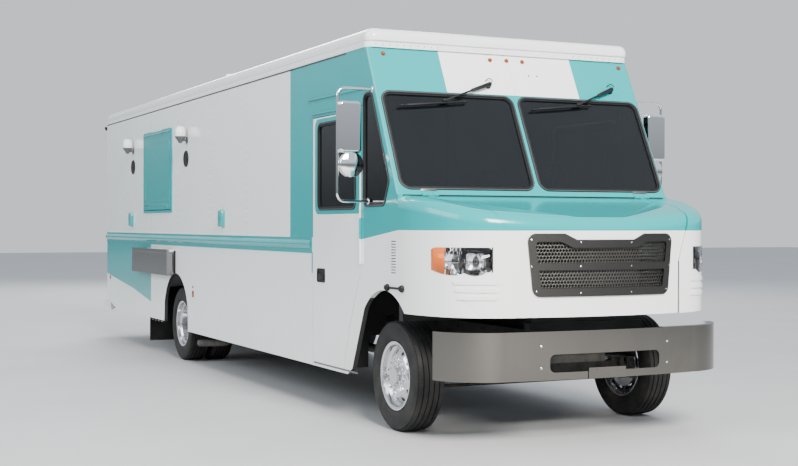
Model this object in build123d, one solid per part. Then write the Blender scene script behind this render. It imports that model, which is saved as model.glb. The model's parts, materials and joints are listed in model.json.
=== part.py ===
"""Walk-in food truck: ladder chassis, hollow aluminium body, moulded nose, doors, hatch, running gear.

Frame: +X is the truck's left side, the front faces -Y and +Z is up. The origin is on the ground, midway
between the two bumpers. Every place along the truck is a station: millimetres behind the front datum,
which is the line through the tips of the front bumper's wings.
"""

from build123d import *
from math import atan2, cos, degrees, radians, sin, sqrt, tan
import os

# Overall sizes
FRONT_STATION = -375.0          # centre of the front bumper
PLATE_THICKNESS = 6.0           # number plate bracket ahead of the bumper
BODY_WIDTH = 2438.0
BODY_REAR = 10125.0             # back of the body's rear wall
REAR_STEP = 256.0               # rear bumper behind the body
WALL_TOP = 2957.0               # where the roof sits on the walls
ROOF_RISE = 148.0
WALL = 40.0                     # thickness of walls, doors and partitions

# Running gear
FRONT_AXLE = 790.0
REAR_AXLE = 6550.0
TYRE_DIAMETER = 838.0
TYRE_WIDTH = 245.0
RIM_FLANGE_RADIUS = 262.0
FRONT_TYRE_X = 1028.0           # centre plane of a front tyre
OUTER_TYRE_X = 1046.0           # centre plane of the outer twin
TWIN_GAP = 33.0                 # between the tyres of a pair
KINGPIN_X = 850.0
KINGPIN_RADIUS = 20.0
SPINDLE_RADIUS = 32.0
REAR_SPINDLE_RADIUS = 45.0
STEER_ARM = 160.0               # from the kingpin back to the tie rod
TIE_ROD_PIN = 8.0

# Ladder frame
RAIL_OUTER_X = 432.0
RAIL_DEPTH = 220.0
RAIL_FLANGE = 76.0
RAIL_PLATE = 9.0
FRAME_FRONT = -120.0
CROSSMEMBERS = (-20.0, 2600.0, 3800.0, 4900.0, 5800.0, 7300.0, 8500.0, 9700.0)
CROSSMEMBER_LENGTH = 90.0
SPRING_X = (440.0, 510.0)

# Floor and inside
TYRE_CLEARANCE = 12.0           # floor's underside above the front tyres
FLOOR_THICKNESS = 100.0
SILL_HEIGHT = 50.0              # cross sills between rails and floor
WHEEL_BOX_INNER = 620.0
WHEEL_BOX_RISE = 252.0          # wheel boxes above the tyres
TUB = 20.0                      # thickness of wheel boxes and step wells
DOORWAY_HALF = 360.0            # half width of the partition's doorway

# Body stations and heights
NOSE_JOINT = 555.0              # nose panels end, cab sides begin
FIREWALL = 45.0
CAB_END = 2826.0                # cab sides end at the partition
SKIRT_BOTTOM = 363.0
REAR_SKIRT_BOTTOM = 417.0
TAIL_CUT = 554.0                # length of the slanted cut under the tail
TAIL_CUT_TOP = 542.0
COWL_TOP = 1792.0
SCREEN_FOOT = (560.0, 1804.0)   # station and height of the windscreen plane's foot
SCREEN_HEAD = (1132.0, 2957.0)
SCREEN_FRAME = 45.0
PILLAR_RADIUS = 32.0

# Windows. Each opening stands a gasket's hidden width inside the seen outline.
WINDSCREEN = (20.0, 1187.0, 1834.0, 2600.0)     # inner x, outer x, low, high
WINDSCREEN_CORNER = 85.0
QUARTER_WINDOW = ((1198, 1712), (1198, 2595), (1034, 2595), (705, 1905), (798, 1712))
GASKET_INSET = 14.0
GLASS = 6.0
GLASS_DEPTH = 12.0              # glass behind the outer face
GLASS_GAP = 0.3

# Cab door, one each side, hung at its front edge: outline of (station, z)
CAB_DOOR = ((1235, 2480), (2273, 2480), (2273, 355), (1598, 355), (1476, 716), (1235, 1220))
DOOR_WINDOW = (1345.0, 2158.0, 1692.0, 2422.0)   # front, rear, low, high
DOOR_GAP = 7.0
MEETING_GAP = 10.0              # between the rear doors

# Serving hatch and its folding shelf, on the right side
HATCH = (6735.0, 8040.0, 1708.0, 2694.0)        # front, rear, low, high
HATCH_RIM = 28.0
HATCH_PROUD = 14.0
HATCH_GAP = 8.0
SHELF = (6640.0, 8300.0)
SHELF_LOW = 972.0
SHELF_THICKNESS = 25.0
SHELF_FLANGE = 38.0             # end flanges inboard of the plate
SHELF_PIN_HEIGHT = 1262.0
SHELF_STANDOFF = 52.0
SHELF_PIN = 6.0
SHELF_BARREL = 13.0

# Nose
NOSE_BOTTOM = 915.0
NOSE_SKIN = 8.0
NOSE_EDGE_RADIUS = 105.0
HOOD_SETBACK = 14.0             # hood face behind the fender faces
HOOD_GAP = 7.0
GRILLE_MARGIN = 78.0            # hood face beside the grille
GRILLE_TAPER = 45.0             # the grille's lower edge is this much narrower, each side
GRILLE_HEIGHTS = (1060.0, 1507.0)
GRILLE_NOTCH = (245.0, 340.0, 44.0)             # half width inside and outside, depth
GRILLE_BORDER = 58.0
GRILLE_BAR = (1247.0, 1299.0)
GRILLE_SHEET = 3.0
HOLE_PITCH = (24.2, 24.8)       # across the sheet, and from row to row
HOLE_SIZE = 7.4                 # centre to corner

# Rear doors
REAR_DOORWAY = (700.0, 2760.0)                  # half width and top of the opening
REAR_WINDOW = (170.0, 560.0, 1850.0, 2450.0)    # inner x, outer x, low, high

# Rub rail along the side
RUB_BAND = (1321.0, 1456.0)
RUB_MOULDING = (1358.0, 1436.0)
RUB_FRONT = 2290.0

# Clearances
RUNNING_FIT = 0.05              # radial, shafts in bores
SEAT = 0.3                      # curved or loose faces that rest on each other

REAR_STATION = BODY_REAR + REAR_STEP
HALF = BODY_WIDTH / 2
INNER = HALF - WALL
MIDDLE_STATION = (FRONT_STATION - PLATE_THICKNESS + REAR_STATION) / 2
AXLE_HEIGHT = TYRE_DIAMETER / 2
TYRE_RADIUS = TYRE_DIAMETER / 2
FLOOR_BOTTOM = TYRE_DIAMETER + TYRE_CLEARANCE
FLOOR_TOP = FLOOR_BOTTOM + FLOOR_THICKNESS
RAIL_TOP = FLOOR_BOTTOM - SILL_HEIGHT
RAIL_BOTTOM = RAIL_TOP - RAIL_DEPTH
WHEEL_BOX_TOP = TYRE_DIAMETER + WHEEL_BOX_RISE
FRAME_REAR = BODY_REAR - 65
WALL_REAR = BODY_REAR - WALL
TWIN_SPACING = TYRE_WIDTH + TWIN_GAP
HUB_PLANE_X = OUTER_TYRE_X - TWIN_SPACING / 2
SCREEN_ANGLE = atan2(SCREEN_HEAD[0] - SCREEN_FOOT[0], SCREEN_HEAD[1] - SCREEN_FOOT[1])


# Makers

def st(station):
    """Y of a station."""
    return station - MIDDLE_STATION


def block(x0, x1, s0, s1, z0, z1):
    """Box between two x, two stations and two heights."""
    return Pos((x0 + x1) / 2, st((s0 + s1) / 2), (z0 + z1) / 2) * Box(x1 - x0, s1 - s0, z1 - z0)


def face_of(points, radius=0):
    """Closed face through plane points, its corners rounded when a radius is given."""
    face = make_face(Polyline(*points, close=True))
    return fillet(face.vertices(), radius) if radius else face


def side_face(points, radius=0, inset=0):
    """Face from an outline of (station, z), moved inwards by an inset."""
    face = face_of([(st(s), z) for s, z in points], radius)
    return offset(face, -inset, kind=Kind.INTERSECTION) if inset else face


def side_solid(face, x0, x1):
    """Extrude a side face between two x."""
    return extrude(Plane.YZ.offset(x0) * face, x1 - x0)


def side_plate(points, x0, x1, radius=0):
    """Plate across x from its outline of (station, z)."""
    return side_solid(side_face(points, radius), x0, x1)


def cross_plate(points, s0, s1, radius=0):
    """Plate along the truck from its outline of (x, z)."""
    plane = Plane(origin=(0, st(s1), 0), x_dir=(1, 0, 0), z_dir=(0, -1, 0))
    return extrude(plane * face_of(points, radius), s1 - s0)


def plan_plate(points, z0, z1, radius=0):
    """Plate upwards from its outline of (x, station)."""
    return extrude(Plane.XY.offset(z0) * face_of([(x, st(s)) for x, s in points], radius), z1 - z0)


def rect(a0, a1, b0, b1):
    """Four corners of a rectangle, for the plate makers."""
    return [(a0, b0), (a1, b0), (a1, b1), (a0, b1)]


def rod(start, end, radius):
    """Cylinder between two points given as (x, station, z)."""
    a, b = (Vector(x, st(s), z) for x, s, z in (start, end))
    return extrude(Plane(origin=a, z_dir=b - a) * Circle(radius), (b - a).length)


def axle_rod(x0, x1, station, z, radius):
    """Cylinder across the truck."""
    return rod((x0, station, z), (x1, station, z), radius)


def pipe(points, radius, bend):
    """Bent round tube through points given as (x, station, z)."""
    path = FilletPolyline(*[(x, st(s), z) for x, s, z in points], radius=bend)
    return sweep(Plane(origin=path @ 0, z_dir=path % 0) * Circle(radius), path)


def turned(section, x, station):
    """Revolve a closed (offset, radius) section about an axle line; the offset runs outboard from x."""
    plane = Plane(origin=(x, st(station), AXLE_HEIGHT), x_dir=(1, 0, 0), z_dir=(0, -1, 0))
    axis = Axis((x, st(station), AXLE_HEIGHT), (1, 0, 0))
    return revolve(plane * section, axis)


def left_of(shape):
    """The same piece on the truck's other side."""
    return mirror(shape, about=Plane.YZ)


def both(shape):
    """A piece and its mirror image, as two solids."""
    return [shape, left_of(shape)]


def node(*shapes):
    """One node from separate solids."""
    solids = [solid for shape in shapes for solid in shape.solids()]
    return solids[0] if len(solids) == 1 else Compound(children=solids)


HINGE_PIN, HINGE_BARREL, HINGE_LEAF = 5.0, 9.0, 4.0
HINGE_RISE = HINGE_BARREL + SEAT        # pin centre above the surface that a hinge lies on


def hinge(plane, length, width, gap=2.0, fold=0.0):
    """Fixed and moving halves of a butt hinge lying on a surface.

    The plane's origin is on the surface at the pin's middle, its x points to the fixed leaf, its y away
    from the surface and its z along the pin. The fold turns the moving leaf away from that surface.
    """
    def bar(radius, low, high):
        return Pos(0, HINGE_RISE, (low + high) / 2) * Cylinder(radius, high - low)

    def knuckle(direction, low, high):
        middle = (low + high) / 2
        flat = Pos(direction * width / 2, HINGE_LEAF / 2 + SEAT, middle)
        foot = Pos(direction * (width / 2 + HINGE_BARREL), (HINGE_LEAF - 1) / 2, middle)
        return (bar(HINGE_BARREL, low, high) + flat * Box(width, HINGE_LEAF, high - low)
                + foot * Box(width - 2 * HINGE_BARREL, HINGE_LEAF + 1, high - low))

    end, share = length / 2, length * 0.3
    fixed = bar(HINGE_PIN, -end, end) + knuckle(1, -end, share - end) + knuckle(1, end - share, end)
    low, high = share - end + gap, end - share - gap
    moving = knuckle(-1, low, high) - bar(HINGE_PIN + RUNNING_FIT, low - 1, high + 1)
    folded = Pos(0, HINGE_RISE, 0) * Rot(0, 0, -fold) * Pos(0, -HINGE_RISE, 0)
    return plane * fixed, plane * folded * moving


# Nose: fender panels and hood share one plan and one crest, with a valley sunk between the fenders

NOSE_BACK = NOSE_JOINT + 60             # the plan runs past the joint and is trimmed
NOSE_SIDE = (500.0, 30.0)               # stations where the side arc begins and ends
NOSE_SIDE_TURN = 89.0                   # how far the side arc turns in from the body side
NOSE_CORNER = (404.0, -257.0)           # the corner arc meets the front arc: in from the side, station
CREST = ((NOSE_BACK, 1803.0), (150.0, 1742.0), (-400.0, 1590.0))            # station, z
VALLEY = ((548.0, 1782.0), (-250.0, 1632.4))    # its flat floor: station, z
CREASE = ((876.0, -172.0), (105.0, 519.0))      # foot of the shoulder: in from the side, station
SHOULDER_SLOPE = 0.126                  # rise of the shoulder beside the floor, per unit of width
HOOD_EDGE = ((519.0, -440.0), (519.0, -150.0), (389.0, 565.0))              # in from the side, station
HOOD_FLARE = (1310.0, 0.364)            # the hood widens above this height, by this much per unit
HOOD_HINGE = 262.0                      # middle of a hood hinge in from the side


def valley_height(station):
    """Height of the valley's floor."""
    (s0, z0), (s1, z1) = VALLEY
    return z0 + (station - s0) * (z1 - z0) / (s1 - s0)


def hood_pin():
    """Station and height of the hood's pin, one hinge rise off the windscreen plane and the valley."""
    slope = (VALLEY[0][1] - VALLEY[1][1]) / (VALLEY[0][0] - VALLEY[1][0])
    lean = tan(SCREEN_ANGLE)
    level = valley_height(0) + HINGE_RISE * sqrt(1 + slope ** 2)
    base = SCREEN_FOOT[0] - lean * SCREEN_FOOT[1] - HINGE_RISE / cos(SCREEN_ANGLE)
    station = (base + lean * level) / (1 - lean * slope)
    return station, level + slope * station


def nose_plan(inset):
    """Plan of the nose, moved inwards by an inset."""
    corner_x = HALF - NOSE_CORNER[0]
    side = Line((HALF, st(NOSE_BACK)), (HALF, st(NOSE_SIDE[0])))
    turn = TangentArc(side @ 1, (HALF - NOSE_SIDE_TURN, st(NOSE_SIDE[1])), tangent=side % 1)
    corner = TangentArc(turn @ 1, (corner_x, st(NOSE_CORNER[1])), tangent=turn % 1)
    front = TangentArc(corner @ 1, (-corner_x, st(NOSE_CORNER[1])), tangent=corner % 1)
    half = [side, turn, corner]
    back = Line((-HALF, st(NOSE_BACK)), (HALF, st(NOSE_BACK)))
    face = make_face([*half, front, *[mirror(edge, about=Plane.YZ) for edge in half], back])
    return offset(face, -inset) if inset else face


def nose_layer(near, far):
    """Upright wall that follows the nose's plan between two insets."""
    base = Plane.XY.offset(NOSE_BOTTOM)
    return extrude(base * nose_plan(near), 700) - extrude(base * nose_plan(far), 700)


def above(points):
    """Large block over the plane through three points given as (x, station, z)."""
    a, b, c = (Vector(x, st(s), z) for x, s, z in points)
    normal = (b - a).cross(c - a)
    if normal.Z < 0:
        normal = normal * -1
    slab = Box(5000, 5000, 900, align=(Align.CENTER, Align.CENTER, Align.MIN))
    return Plane(origin=a, z_dir=normal) * slab


def valley(lower):
    """Cutter for the hollow between the fenders, lowered for the inner side of the skin."""
    (x0, s0), (x1, s1) = ((HALF - inward, s) for inward, s in CREASE)
    z0, z1 = (valley_height(s) - lower for s in (s0, s1))
    wedge = above([(0, s0, z0), (100, s0, z0), (0, s1, z1)])
    for side in (-1, 1):
        shoulder = (side * (x0 + 100), s0, z0 + 100 * SHOULDER_SLOPE)
        wedge &= above([(side * x0, s0, z0), (side * x1, s1, z1), shoulder])
    return wedge


def nose_block(inset, lower, radius):
    """Solid nose under its crest line, with a rounded upper edge and the valley cut in."""
    rear, middle, front = ((st(s), z - lower) for s, z in CREST)
    low = NOSE_BOTTOM - 5 * lower
    ahead = front[0] - 60
    below = Polyline(front, (ahead, front[1]), (ahead, low), (rear[0], low), rear)
    under = make_face([ThreePointArc(rear, middle, front), below])
    upright = extrude(Plane.XY.offset(low) * nose_plan(inset), COWL_TOP + 100 - low)
    solid = upright & side_solid(under, -HALF - 10, HALF + 10)
    crown = [e for e in solid.edges() if e.center().Z > 1500 and e.center().Y < st(NOSE_BACK) - inset - 1
             and e.bounding_box().size.Z < 250 and e.bounding_box().size.length > 20]
    return fillet(crown, radius) - valley(lower)


def hood_region(grow):
    """Block over the hood's plan, upright below and flared above, its edges moved out by grow."""
    def outline(wider):
        points = [(HALF - inward + wider, s) for inward, s in HOOD_EDGE]
        ring = points + [(-x, s) for x, s in reversed(points)]
        face = make_face(Polyline(*[(x, st(s)) for x, s in ring], close=True))
        return fillet([v for v in face.vertices() if abs(v.Y - st(HOOD_EDGE[1][1])) < 1], 500)

    knee, flare = HOOD_FLARE
    base, bend = Plane.XY.offset(NOSE_BOTTOM - 100), Plane.XY.offset(knee)
    lower = extrude(base * outline(grow), knee - NOSE_BOTTOM + 100)
    head = bend.offset(600) * outline(grow + 600 * flare)
    return lower + loft([bend * outline(grow), head], ruled=True)


def front_arch():
    """Cutter for the front wheel arch, across both sides."""
    crown = ThreePointArc((st(450), 918), (st(855), 1068), (st(1180), 905))
    rest = Polyline((st(1180), 905), (st(1415), 415), (st(1505), SKIRT_BOTTOM), (st(1505), 300),
                    (st(450), 300), (st(450), 918))
    return side_solid(make_face([crown, rest]), -HALF - 50, HALF + 50)


def nose_skin(setback):
    """Outer and inner solid of the nose moulding."""
    outer = nose_block(setback, 0, NOSE_EDGE_RADIUS)
    return outer, nose_block(setback + NOSE_SKIN, NOSE_SKIN, NOSE_EDGE_RADIUS - NOSE_SKIN)


def right_fender():
    """Fender panel with its inner wall beside the hood, the headlight's hole and three louvre ribs."""
    outer, inner = nose_skin(0)
    skin = (outer - hood_region(HOOD_GAP / 2)) - (inner - hood_region(HOOD_GAP / 2 + NOSE_SKIN))
    skin -= block(-HALF - 1, HALF + 1, NOSE_JOINT, NOSE_BACK + 1, 0, 2000)
    skin -= front_arch()
    skin = max((s for s in skin.solids() if s.center().X < 0), key=lambda s: s.volume)
    skin -= lamp_outline(0) & nose_layer(-20, NOSE_SKIN + 10)
    outer_edge, inner_edge, slant = LOUVRE
    for i, z in enumerate(LOUVRE_HEIGHTS):
        outline = rect(-HALF + outer_edge + i * slant, -HALF + inner_edge, z - 14, z + 14)
        skin += cross_plate(outline, -330, 100, 13) & nose_layer(-7, NOSE_SKIN / 2)
    return skin


def hood_panel():
    """Hood: sloping top and grille face in one moulding."""
    outer, inner = nose_skin(HOOD_SETBACK)
    skin = (outer - inner) & hood_region(-HOOD_GAP / 2)
    skin -= block(-HALF, HALF, NOSE_JOINT - 9, NOSE_BACK + 1, 0, 2000)
    skin -= across_nose(grille_outline(-30, 40))
    return max(skin.solids(), key=lambda s: s.volume)


def grille_outline(grow, radius):
    """Grille's outline, its edge moved out by grow."""
    inner, outer, depth = GRILLE_NOTCH
    low, high = GRILLE_HEIGHTS
    head = HALF - HOOD_EDGE[0][0] - GRILLE_MARGIN
    half = [(head - GRILLE_TAPER + grow, low - grow), (head + grow, high + grow),
            (outer - grow / 2, high + grow), (inner - grow / 2, high + grow - depth)]
    face = face_of(half + [(-x, z) for x, z in reversed(half)])
    face = fillet([v for v in face.vertices() if abs(v.X) > outer + 60], radius)
    return fillet([v for v in face.vertices() if abs(v.X) < outer + 30 - grow / 2], 20)


def across_nose(face):
    """Block through the nose's front from a face of (x, z)."""
    return extrude(Plane(origin=(0, st(-150), 0), x_dir=(1, 0, 0), z_dir=(0, -1, 0)) * face, 300)


def grille():
    """Bezel with a notched upper edge and a middle bar, over the hole in the hood's face."""
    low, high = GRILLE_BAR
    bezel = across_nose(grille_outline(0, 62)) & nose_layer(HOOD_SETBACK - 12, HOOD_SETBACK - SEAT)
    windows = across_nose(grille_outline(-GRILLE_BORDER, 24))
    return bezel - (windows - block(-HALF, HALF, -500, -100, low, high))


def grille_sheet():
    """Perforated sheet behind the hood's hole, with staggered rows of holes in both windows."""
    across, up = HOLE_PITCH
    low, high = (GRILLE_HEIGHTS[0] + GRILLE_BORDER, GRILLE_HEIGHTS[1] - GRILLE_BORDER)
    reach = HALF - HOOD_EDGE[0][0] - GRILLE_MARGIN - GRILLE_BORDER
    heights = [GRILLE_BAR[0] - up * (i + 0.5) for i in range(round((GRILLE_BAR[0] - low) / up))]
    heights += [GRILLE_BAR[1] + up * (i + 0.5) for i in range(round((high - GRILLE_BAR[1]) / up))]
    hole = RegularPolygon(HOLE_SIZE, 6, rotation=30)
    cutters = []
    for row, z in enumerate(heights):
        start = across / 2 * (row % 2)
        steps = int((reach - start) // across)
        for x in sorted({side * (start + i * across) for i in range(steps + 1) for side in (-1, 1)}):
            cutters.append(across_nose(Pos(x, z) * hole))
    back = HOOD_SETBACK + NOSE_SKIN + SEAT
    return (across_nose(grille_outline(-15, 50)) & nose_layer(back, back + GRILLE_SHEET)) - cutters


# Headlights

LAMP = (56.0, 347.0, 1236.0, 1408.0)    # outer and inner edge in from the side, low, high
LAMP_BOWLS = ((131.0, 1311.0), (247.0, 1308.0))         # reflectors' middles: in from the side, height
LAMP_BOWL_RADIUS = 98.0
LOUVRE = (131.0, 387.0, 9.0)            # outer and inner end in from the side, slant from rib to rib
LOUVRE_HEIGHTS = (1162.0, 1108.0, 1054.0)


def lamp_outline(inset):
    """Block through the right headlight's outline, its lower edge scalloped round two bowls."""
    outer_edge, inner_edge, low, high = LAMP
    x0, x1 = -HALF + outer_edge + inset, -HALF + inner_edge - inset
    shape = cross_plate(rect(x0, x1, low + inset, high - inset), -330, 200, 20)
    for inward, z in LAMP_BOWLS:
        shape += rod((-HALF + inward, -330, z), (-HALF + inward, 200, z), LAMP_BOWL_RADIUS - inset)
    return shape & block(x0, x1, -340, 210, low - 60, high - inset)


def headlight():
    """Right headlight unit, wrapped round the fender's corner, with a flange behind the skin."""
    lamp = lamp_outline(SEAT) & nose_layer(-3, 40)
    flange = lamp_outline(-12) & nose_layer(NOSE_SKIN + SEAT, NOSE_SKIN + SEAT + 3)
    return max((lamp + flange).solids(), key=lambda s: s.volume)


# Bumpers

BUMPER_LOW, BUMPER_HIGH = 475.0, 819.0
BUMPER_SHEET = 5.0
BUMPER_FLANGE = 60.0
BUMPER_CORNER = (424.0, -325.0)         # in from the side, station
BUMPER_CUTOUT = (467.0, 528.0, 656.0)   # half width, low, high
PLATE_BRACKET = (158.0, 474.0, 553.0)   # half width, low, high
PLATE_HOLES = 177.8
PLATE_HOLE_RADIUS = 3.5
PLATE_HOLE_Z = 540.0
REAR_BUMPER = (375.0, 505.0)            # low, high


def bumper_plan(inset):
    """Plan of the front bumper's outer face, moved inwards."""
    corner_x = HALF - BUMPER_CORNER[0]
    tip = HALF - 7
    wing = ThreePointArc((tip, st(0)), (HALF - 135, st(-206)), (corner_x, st(BUMPER_CORNER[1])))
    front = ThreePointArc((corner_x, st(BUMPER_CORNER[1])), (0, st(FRONT_STATION)),
                          (-corner_x, st(BUMPER_CORNER[1])))
    back = Polyline((-tip, st(0)), (-tip, st(80)), (tip, st(80)), (tip, st(0)))
    face = make_face([wing, front, mirror(wing, about=Plane.YZ), back])
    return offset(face, -inset) if inset else face


def front_bumper():
    """Polished channel bumper with its slot, frame arms and blank plate bracket."""
    def layer(inset, low, high):
        return extrude(Plane.XY.offset(low) * bumper_plan(inset), high - low)

    shell = layer(0, BUMPER_LOW, BUMPER_HIGH) - layer(BUMPER_SHEET, BUMPER_LOW - 1, BUMPER_HIGH + 1)
    for low in (BUMPER_LOW, BUMPER_HIGH - BUMPER_SHEET):
        high = low + BUMPER_SHEET
        shell += layer(0, low, high) - layer(BUMPER_FLANGE, low - 1, high + 1)
    shell -= block(-HALF, HALF, 0, 100, 0, 1000)
    half, low, high = BUMPER_CUTOUT
    shell -= cross_plate(rect(-half, half, low, high), -400, -200, 40)
    arm = block(-RAIL_OUTER_X, -RAIL_OUTER_X + RAIL_FLANGE, FRONT_STATION, FRAME_FRONT,
                RAIL_BOTTOM + 90, RAIL_TOP - 20)
    arm = arm & layer(BUMPER_SHEET / 2, RAIL_BOTTOM, RAIL_TOP)
    shell = shell + arm + left_of(arm)
    half, low, high = PLATE_BRACKET
    ahead = FRONT_STATION - PLATE_THICKNESS
    bracket = block(-half, half, ahead, FRONT_STATION, low + 1, high)
    bracket += block(-half + 20, half - 20, ahead, FRONT_STATION + 30, low + 1, low + 8)
    for x in (-PLATE_HOLES / 2, PLATE_HOLES / 2):
        bracket -= rod((x, ahead - 1, PLATE_HOLE_Z), (x, FRONT_STATION + 50, PLATE_HOLE_Z),
                       PLATE_HOLE_RADIUS)
    return shell + bracket


def rear_bumper():
    """Step bumper wrapped round the tail, on two arms under the frame."""
    low, high = REAR_BUMPER
    side, start = HALF - 19, BODY_REAR - 135
    outer = plan_plate(rect(-side, side, start, REAR_STATION), low, high)
    outer = fillet(outer.edges().filter_by(Axis.Z).group_by(Axis.Y)[-1], 30)
    step = outer - block(-side + 40, side - 40, start - 20, REAR_STATION - 40, low - 1, high + 1)
    step += block(-side + 20, side - 20, BODY_REAR + 12, REAR_STATION - 20, high - 8, high)
    near, far, back = -RAIL_OUTER_X, -RAIL_OUTER_X + RAIL_FLANGE, FRAME_REAR - 360
    arm = block(near, far, back, REAR_STATION - 20, 440, high - 4)
    arm += block(near, far, back, FRAME_REAR - 160, 440, RAIL_BOTTOM)
    return step + arm + left_of(arm)


# Chassis

def chassis_frame():
    """Two channel rails joined by crossmembers."""
    near = -RAIL_OUTER_X
    web = block(near, near + RAIL_PLATE, FRAME_FRONT, FRAME_REAR, RAIL_BOTTOM, RAIL_TOP)
    for low in (RAIL_BOTTOM, RAIL_TOP - RAIL_PLATE):
        web += block(near, near + RAIL_FLANGE, FRAME_FRONT, FRAME_REAR, low, low + RAIL_PLATE)
    frame = web + left_of(web)
    reach = RAIL_OUTER_X - RAIL_PLATE / 2
    for s in CROSSMEMBERS:
        frame += block(-reach, reach, s, s + CROSSMEMBER_LENGTH, RAIL_BOTTOM + 80, RAIL_TOP - 20)
    return frame


def engine():
    """Engine and gearbox as one plain mass, standing on the rails' lower flanges."""
    mass = block(-290, 290, 80, 1180, RAIL_BOTTOM - 40, 1300)
    mass += block(-180, 180, 1180, 1950, RAIL_BOTTOM - 60, RAIL_TOP - 10)
    for s in (420, 900):
        mass += block(-RAIL_OUTER_X + RAIL_PLATE, RAIL_OUTER_X - RAIL_PLATE, s, s + 110,
                      RAIL_BOTTOM + RAIL_PLATE, RAIL_BOTTOM + 80)
    return mass


def radiator():
    """Core with its tanks, standing on the front of the rails."""
    core = block(-470, 470, -105, -45, RAIL_TOP, 1540)
    for low in (RAIL_TOP, 1480):
        core += block(-490, 490, -115, -35, low, low + 60)
    return core


def leaf_spring(axle, half, seat):
    """Right leaf pack with its hangers on the rail's web."""
    x0, x1 = -SPRING_X[1], -SPRING_X[0]
    end = RAIL_BOTTOM + 5
    outline = [(-half, end), (-60, seat), (60, seat), (half, end), (half, end + 28), (60, seat + 50),
               (-60, seat + 50), (-half, end + 28)]
    pack = side_plate([(axle + s, z) for s, z in outline], x0, x1)
    for s in (-half, half):
        pack += block(x0, -RAIL_OUTER_X, axle + s - 35, axle + s + 35, end - 10, end + 110)
    return pack


def front_axle():
    """Forged beam with kingpins and its leaf springs."""
    z = AXLE_HEIGHT
    half = [(620, z + 51), (700, z + 38), (KINGPIN_X, z + 38),
            (KINGPIN_X, z - 38), (720, z - 38), (600, z - 60)]
    beam = cross_plate(half + [(-x, h) for x, h in reversed(half)], FRONT_AXLE - 38, FRONT_AXLE + 38)
    for x in (-KINGPIN_X, KINGPIN_X):
        beam += rod((x, FRONT_AXLE, z - 60), (x, FRONT_AXLE, z + 60), 42)
        beam += rod((x, FRONT_AXLE, z - 118), (x, FRONT_AXLE, z + 118), KINGPIN_RADIUS)
    spring = leaf_spring(FRONT_AXLE, 620, z + 51)
    return beam + spring + left_of(spring)


def knuckle():
    """Right steering knuckle: two ears on the kingpin, spindle and tie-rod arm."""
    x, z = -KINGPIN_X, AXLE_HEIGHT
    body = rod((x, FRONT_AXLE, z + 62), (x, FRONT_AXLE, z + 104), 40)
    body += rod((x, FRONT_AXLE, z - 104), (x, FRONT_AXLE, z - 62), 40)
    body += block(x - 80, x - 48, FRONT_AXLE - 45, FRONT_AXLE + 45, z - 104, z + 104)
    for low in (-104, 62):
        body += block(x - 60, x, FRONT_AXLE - 40, FRONT_AXLE + 40, z + low, z + low + 42)
    body += axle_rod(x - 80, x - 190, FRONT_AXLE, z, SPINDLE_RADIUS)
    body += block(x - 20, x + 20, FRONT_AXLE, FRONT_AXLE + STEER_ARM, z - 104, z - 76)
    body += rod((x, FRONT_AXLE + STEER_ARM, z - 104), (x, FRONT_AXLE + STEER_ARM, z - 76), 20)
    body += rod((x, FRONT_AXLE + STEER_ARM, z - 136), (x, FRONT_AXLE + STEER_ARM, z - 104), TIE_ROD_PIN)
    return body - rod((x, FRONT_AXLE, z - 105), (x, FRONT_AXLE, z + 105), KINGPIN_RADIUS + RUNNING_FIT)


def tie_rod():
    """Rod between the knuckles' arms; its left eye has free play."""
    s, low = FRONT_AXLE + STEER_ARM, AXLE_HEIGHT - 134
    bar = axle_rod(-KINGPIN_X + 15, KINGPIN_X - 15, s, low + 14, 13)
    for x, play in ((-KINGPIN_X, RUNNING_FIT), (KINGPIN_X, 1.0)):
        bar += rod((x, s, low), (x, s, low + 28), 20)
        bar -= rod((x, s, low - 5), (x, s, low + 40), TIE_ROD_PIN + play)
    return bar


def rear_axle():
    """Driven axle with its springs and propeller shaft."""
    axle = axle_rod(-560, 560, REAR_AXLE, AXLE_HEIGHT, 62)
    axle += axle_rod(-HUB_PLANE_X - 110, HUB_PLANE_X + 110, REAR_AXLE, AXLE_HEIGHT, REAR_SPINDLE_RADIUS)
    axle += axle_rod(-95, 95, REAR_AXLE, AXLE_HEIGHT, 175)
    axle += rod((0, REAR_AXLE - 300, AXLE_HEIGHT), (0, REAR_AXLE, AXLE_HEIGHT), 70)
    spring = leaf_spring(REAR_AXLE, 720, AXLE_HEIGHT + 55)
    shaft = rod((0, 1955, RAIL_BOTTOM + 10), (0, REAR_AXLE - 200, AXLE_HEIGHT + 5), 45)
    return axle + spring + left_of(spring) + shaft


def fuel_tank():
    """Tank under the left side, on two brackets at the rail."""
    tank = cross_plate(rect(505, HALF - 109, RAIL_BOTTOM - 140, RAIL_TOP - 30), 3000, 4100, 60)
    for s in (3200, 3800):
        tank += block(RAIL_OUTER_X, 520, s, s + 80, RAIL_BOTTOM + 30, RAIL_TOP - 60)
    return tank


EXHAUST_TIP = 262.0             # height of the tail pipe's end


def exhaust():
    """Silencer and pipes under the right side, ending ahead of the rear wheel."""
    level = RAIL_BOTTOM - 80
    route = ((-300, 1100, level - 10), (-720, 1900, level), (-720, 5000, level),
             (-1000, 5420, EXHAUST_TIP + 23), (-HALF + 24, 5720, EXHAUST_TIP))
    run = pipe(route, 38, 150) + rod((-720, 3100, level), (-720, 4200, level), 110)
    for s in (3300, 3950):
        run += block(-700, -RAIL_OUTER_X, s, s + 40, RAIL_BOTTOM + 10, RAIL_BOTTOM + 60)
        run += block(-740, -700, s, s + 40, level, RAIL_BOTTOM + 60)
    return run


# Wheels

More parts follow.
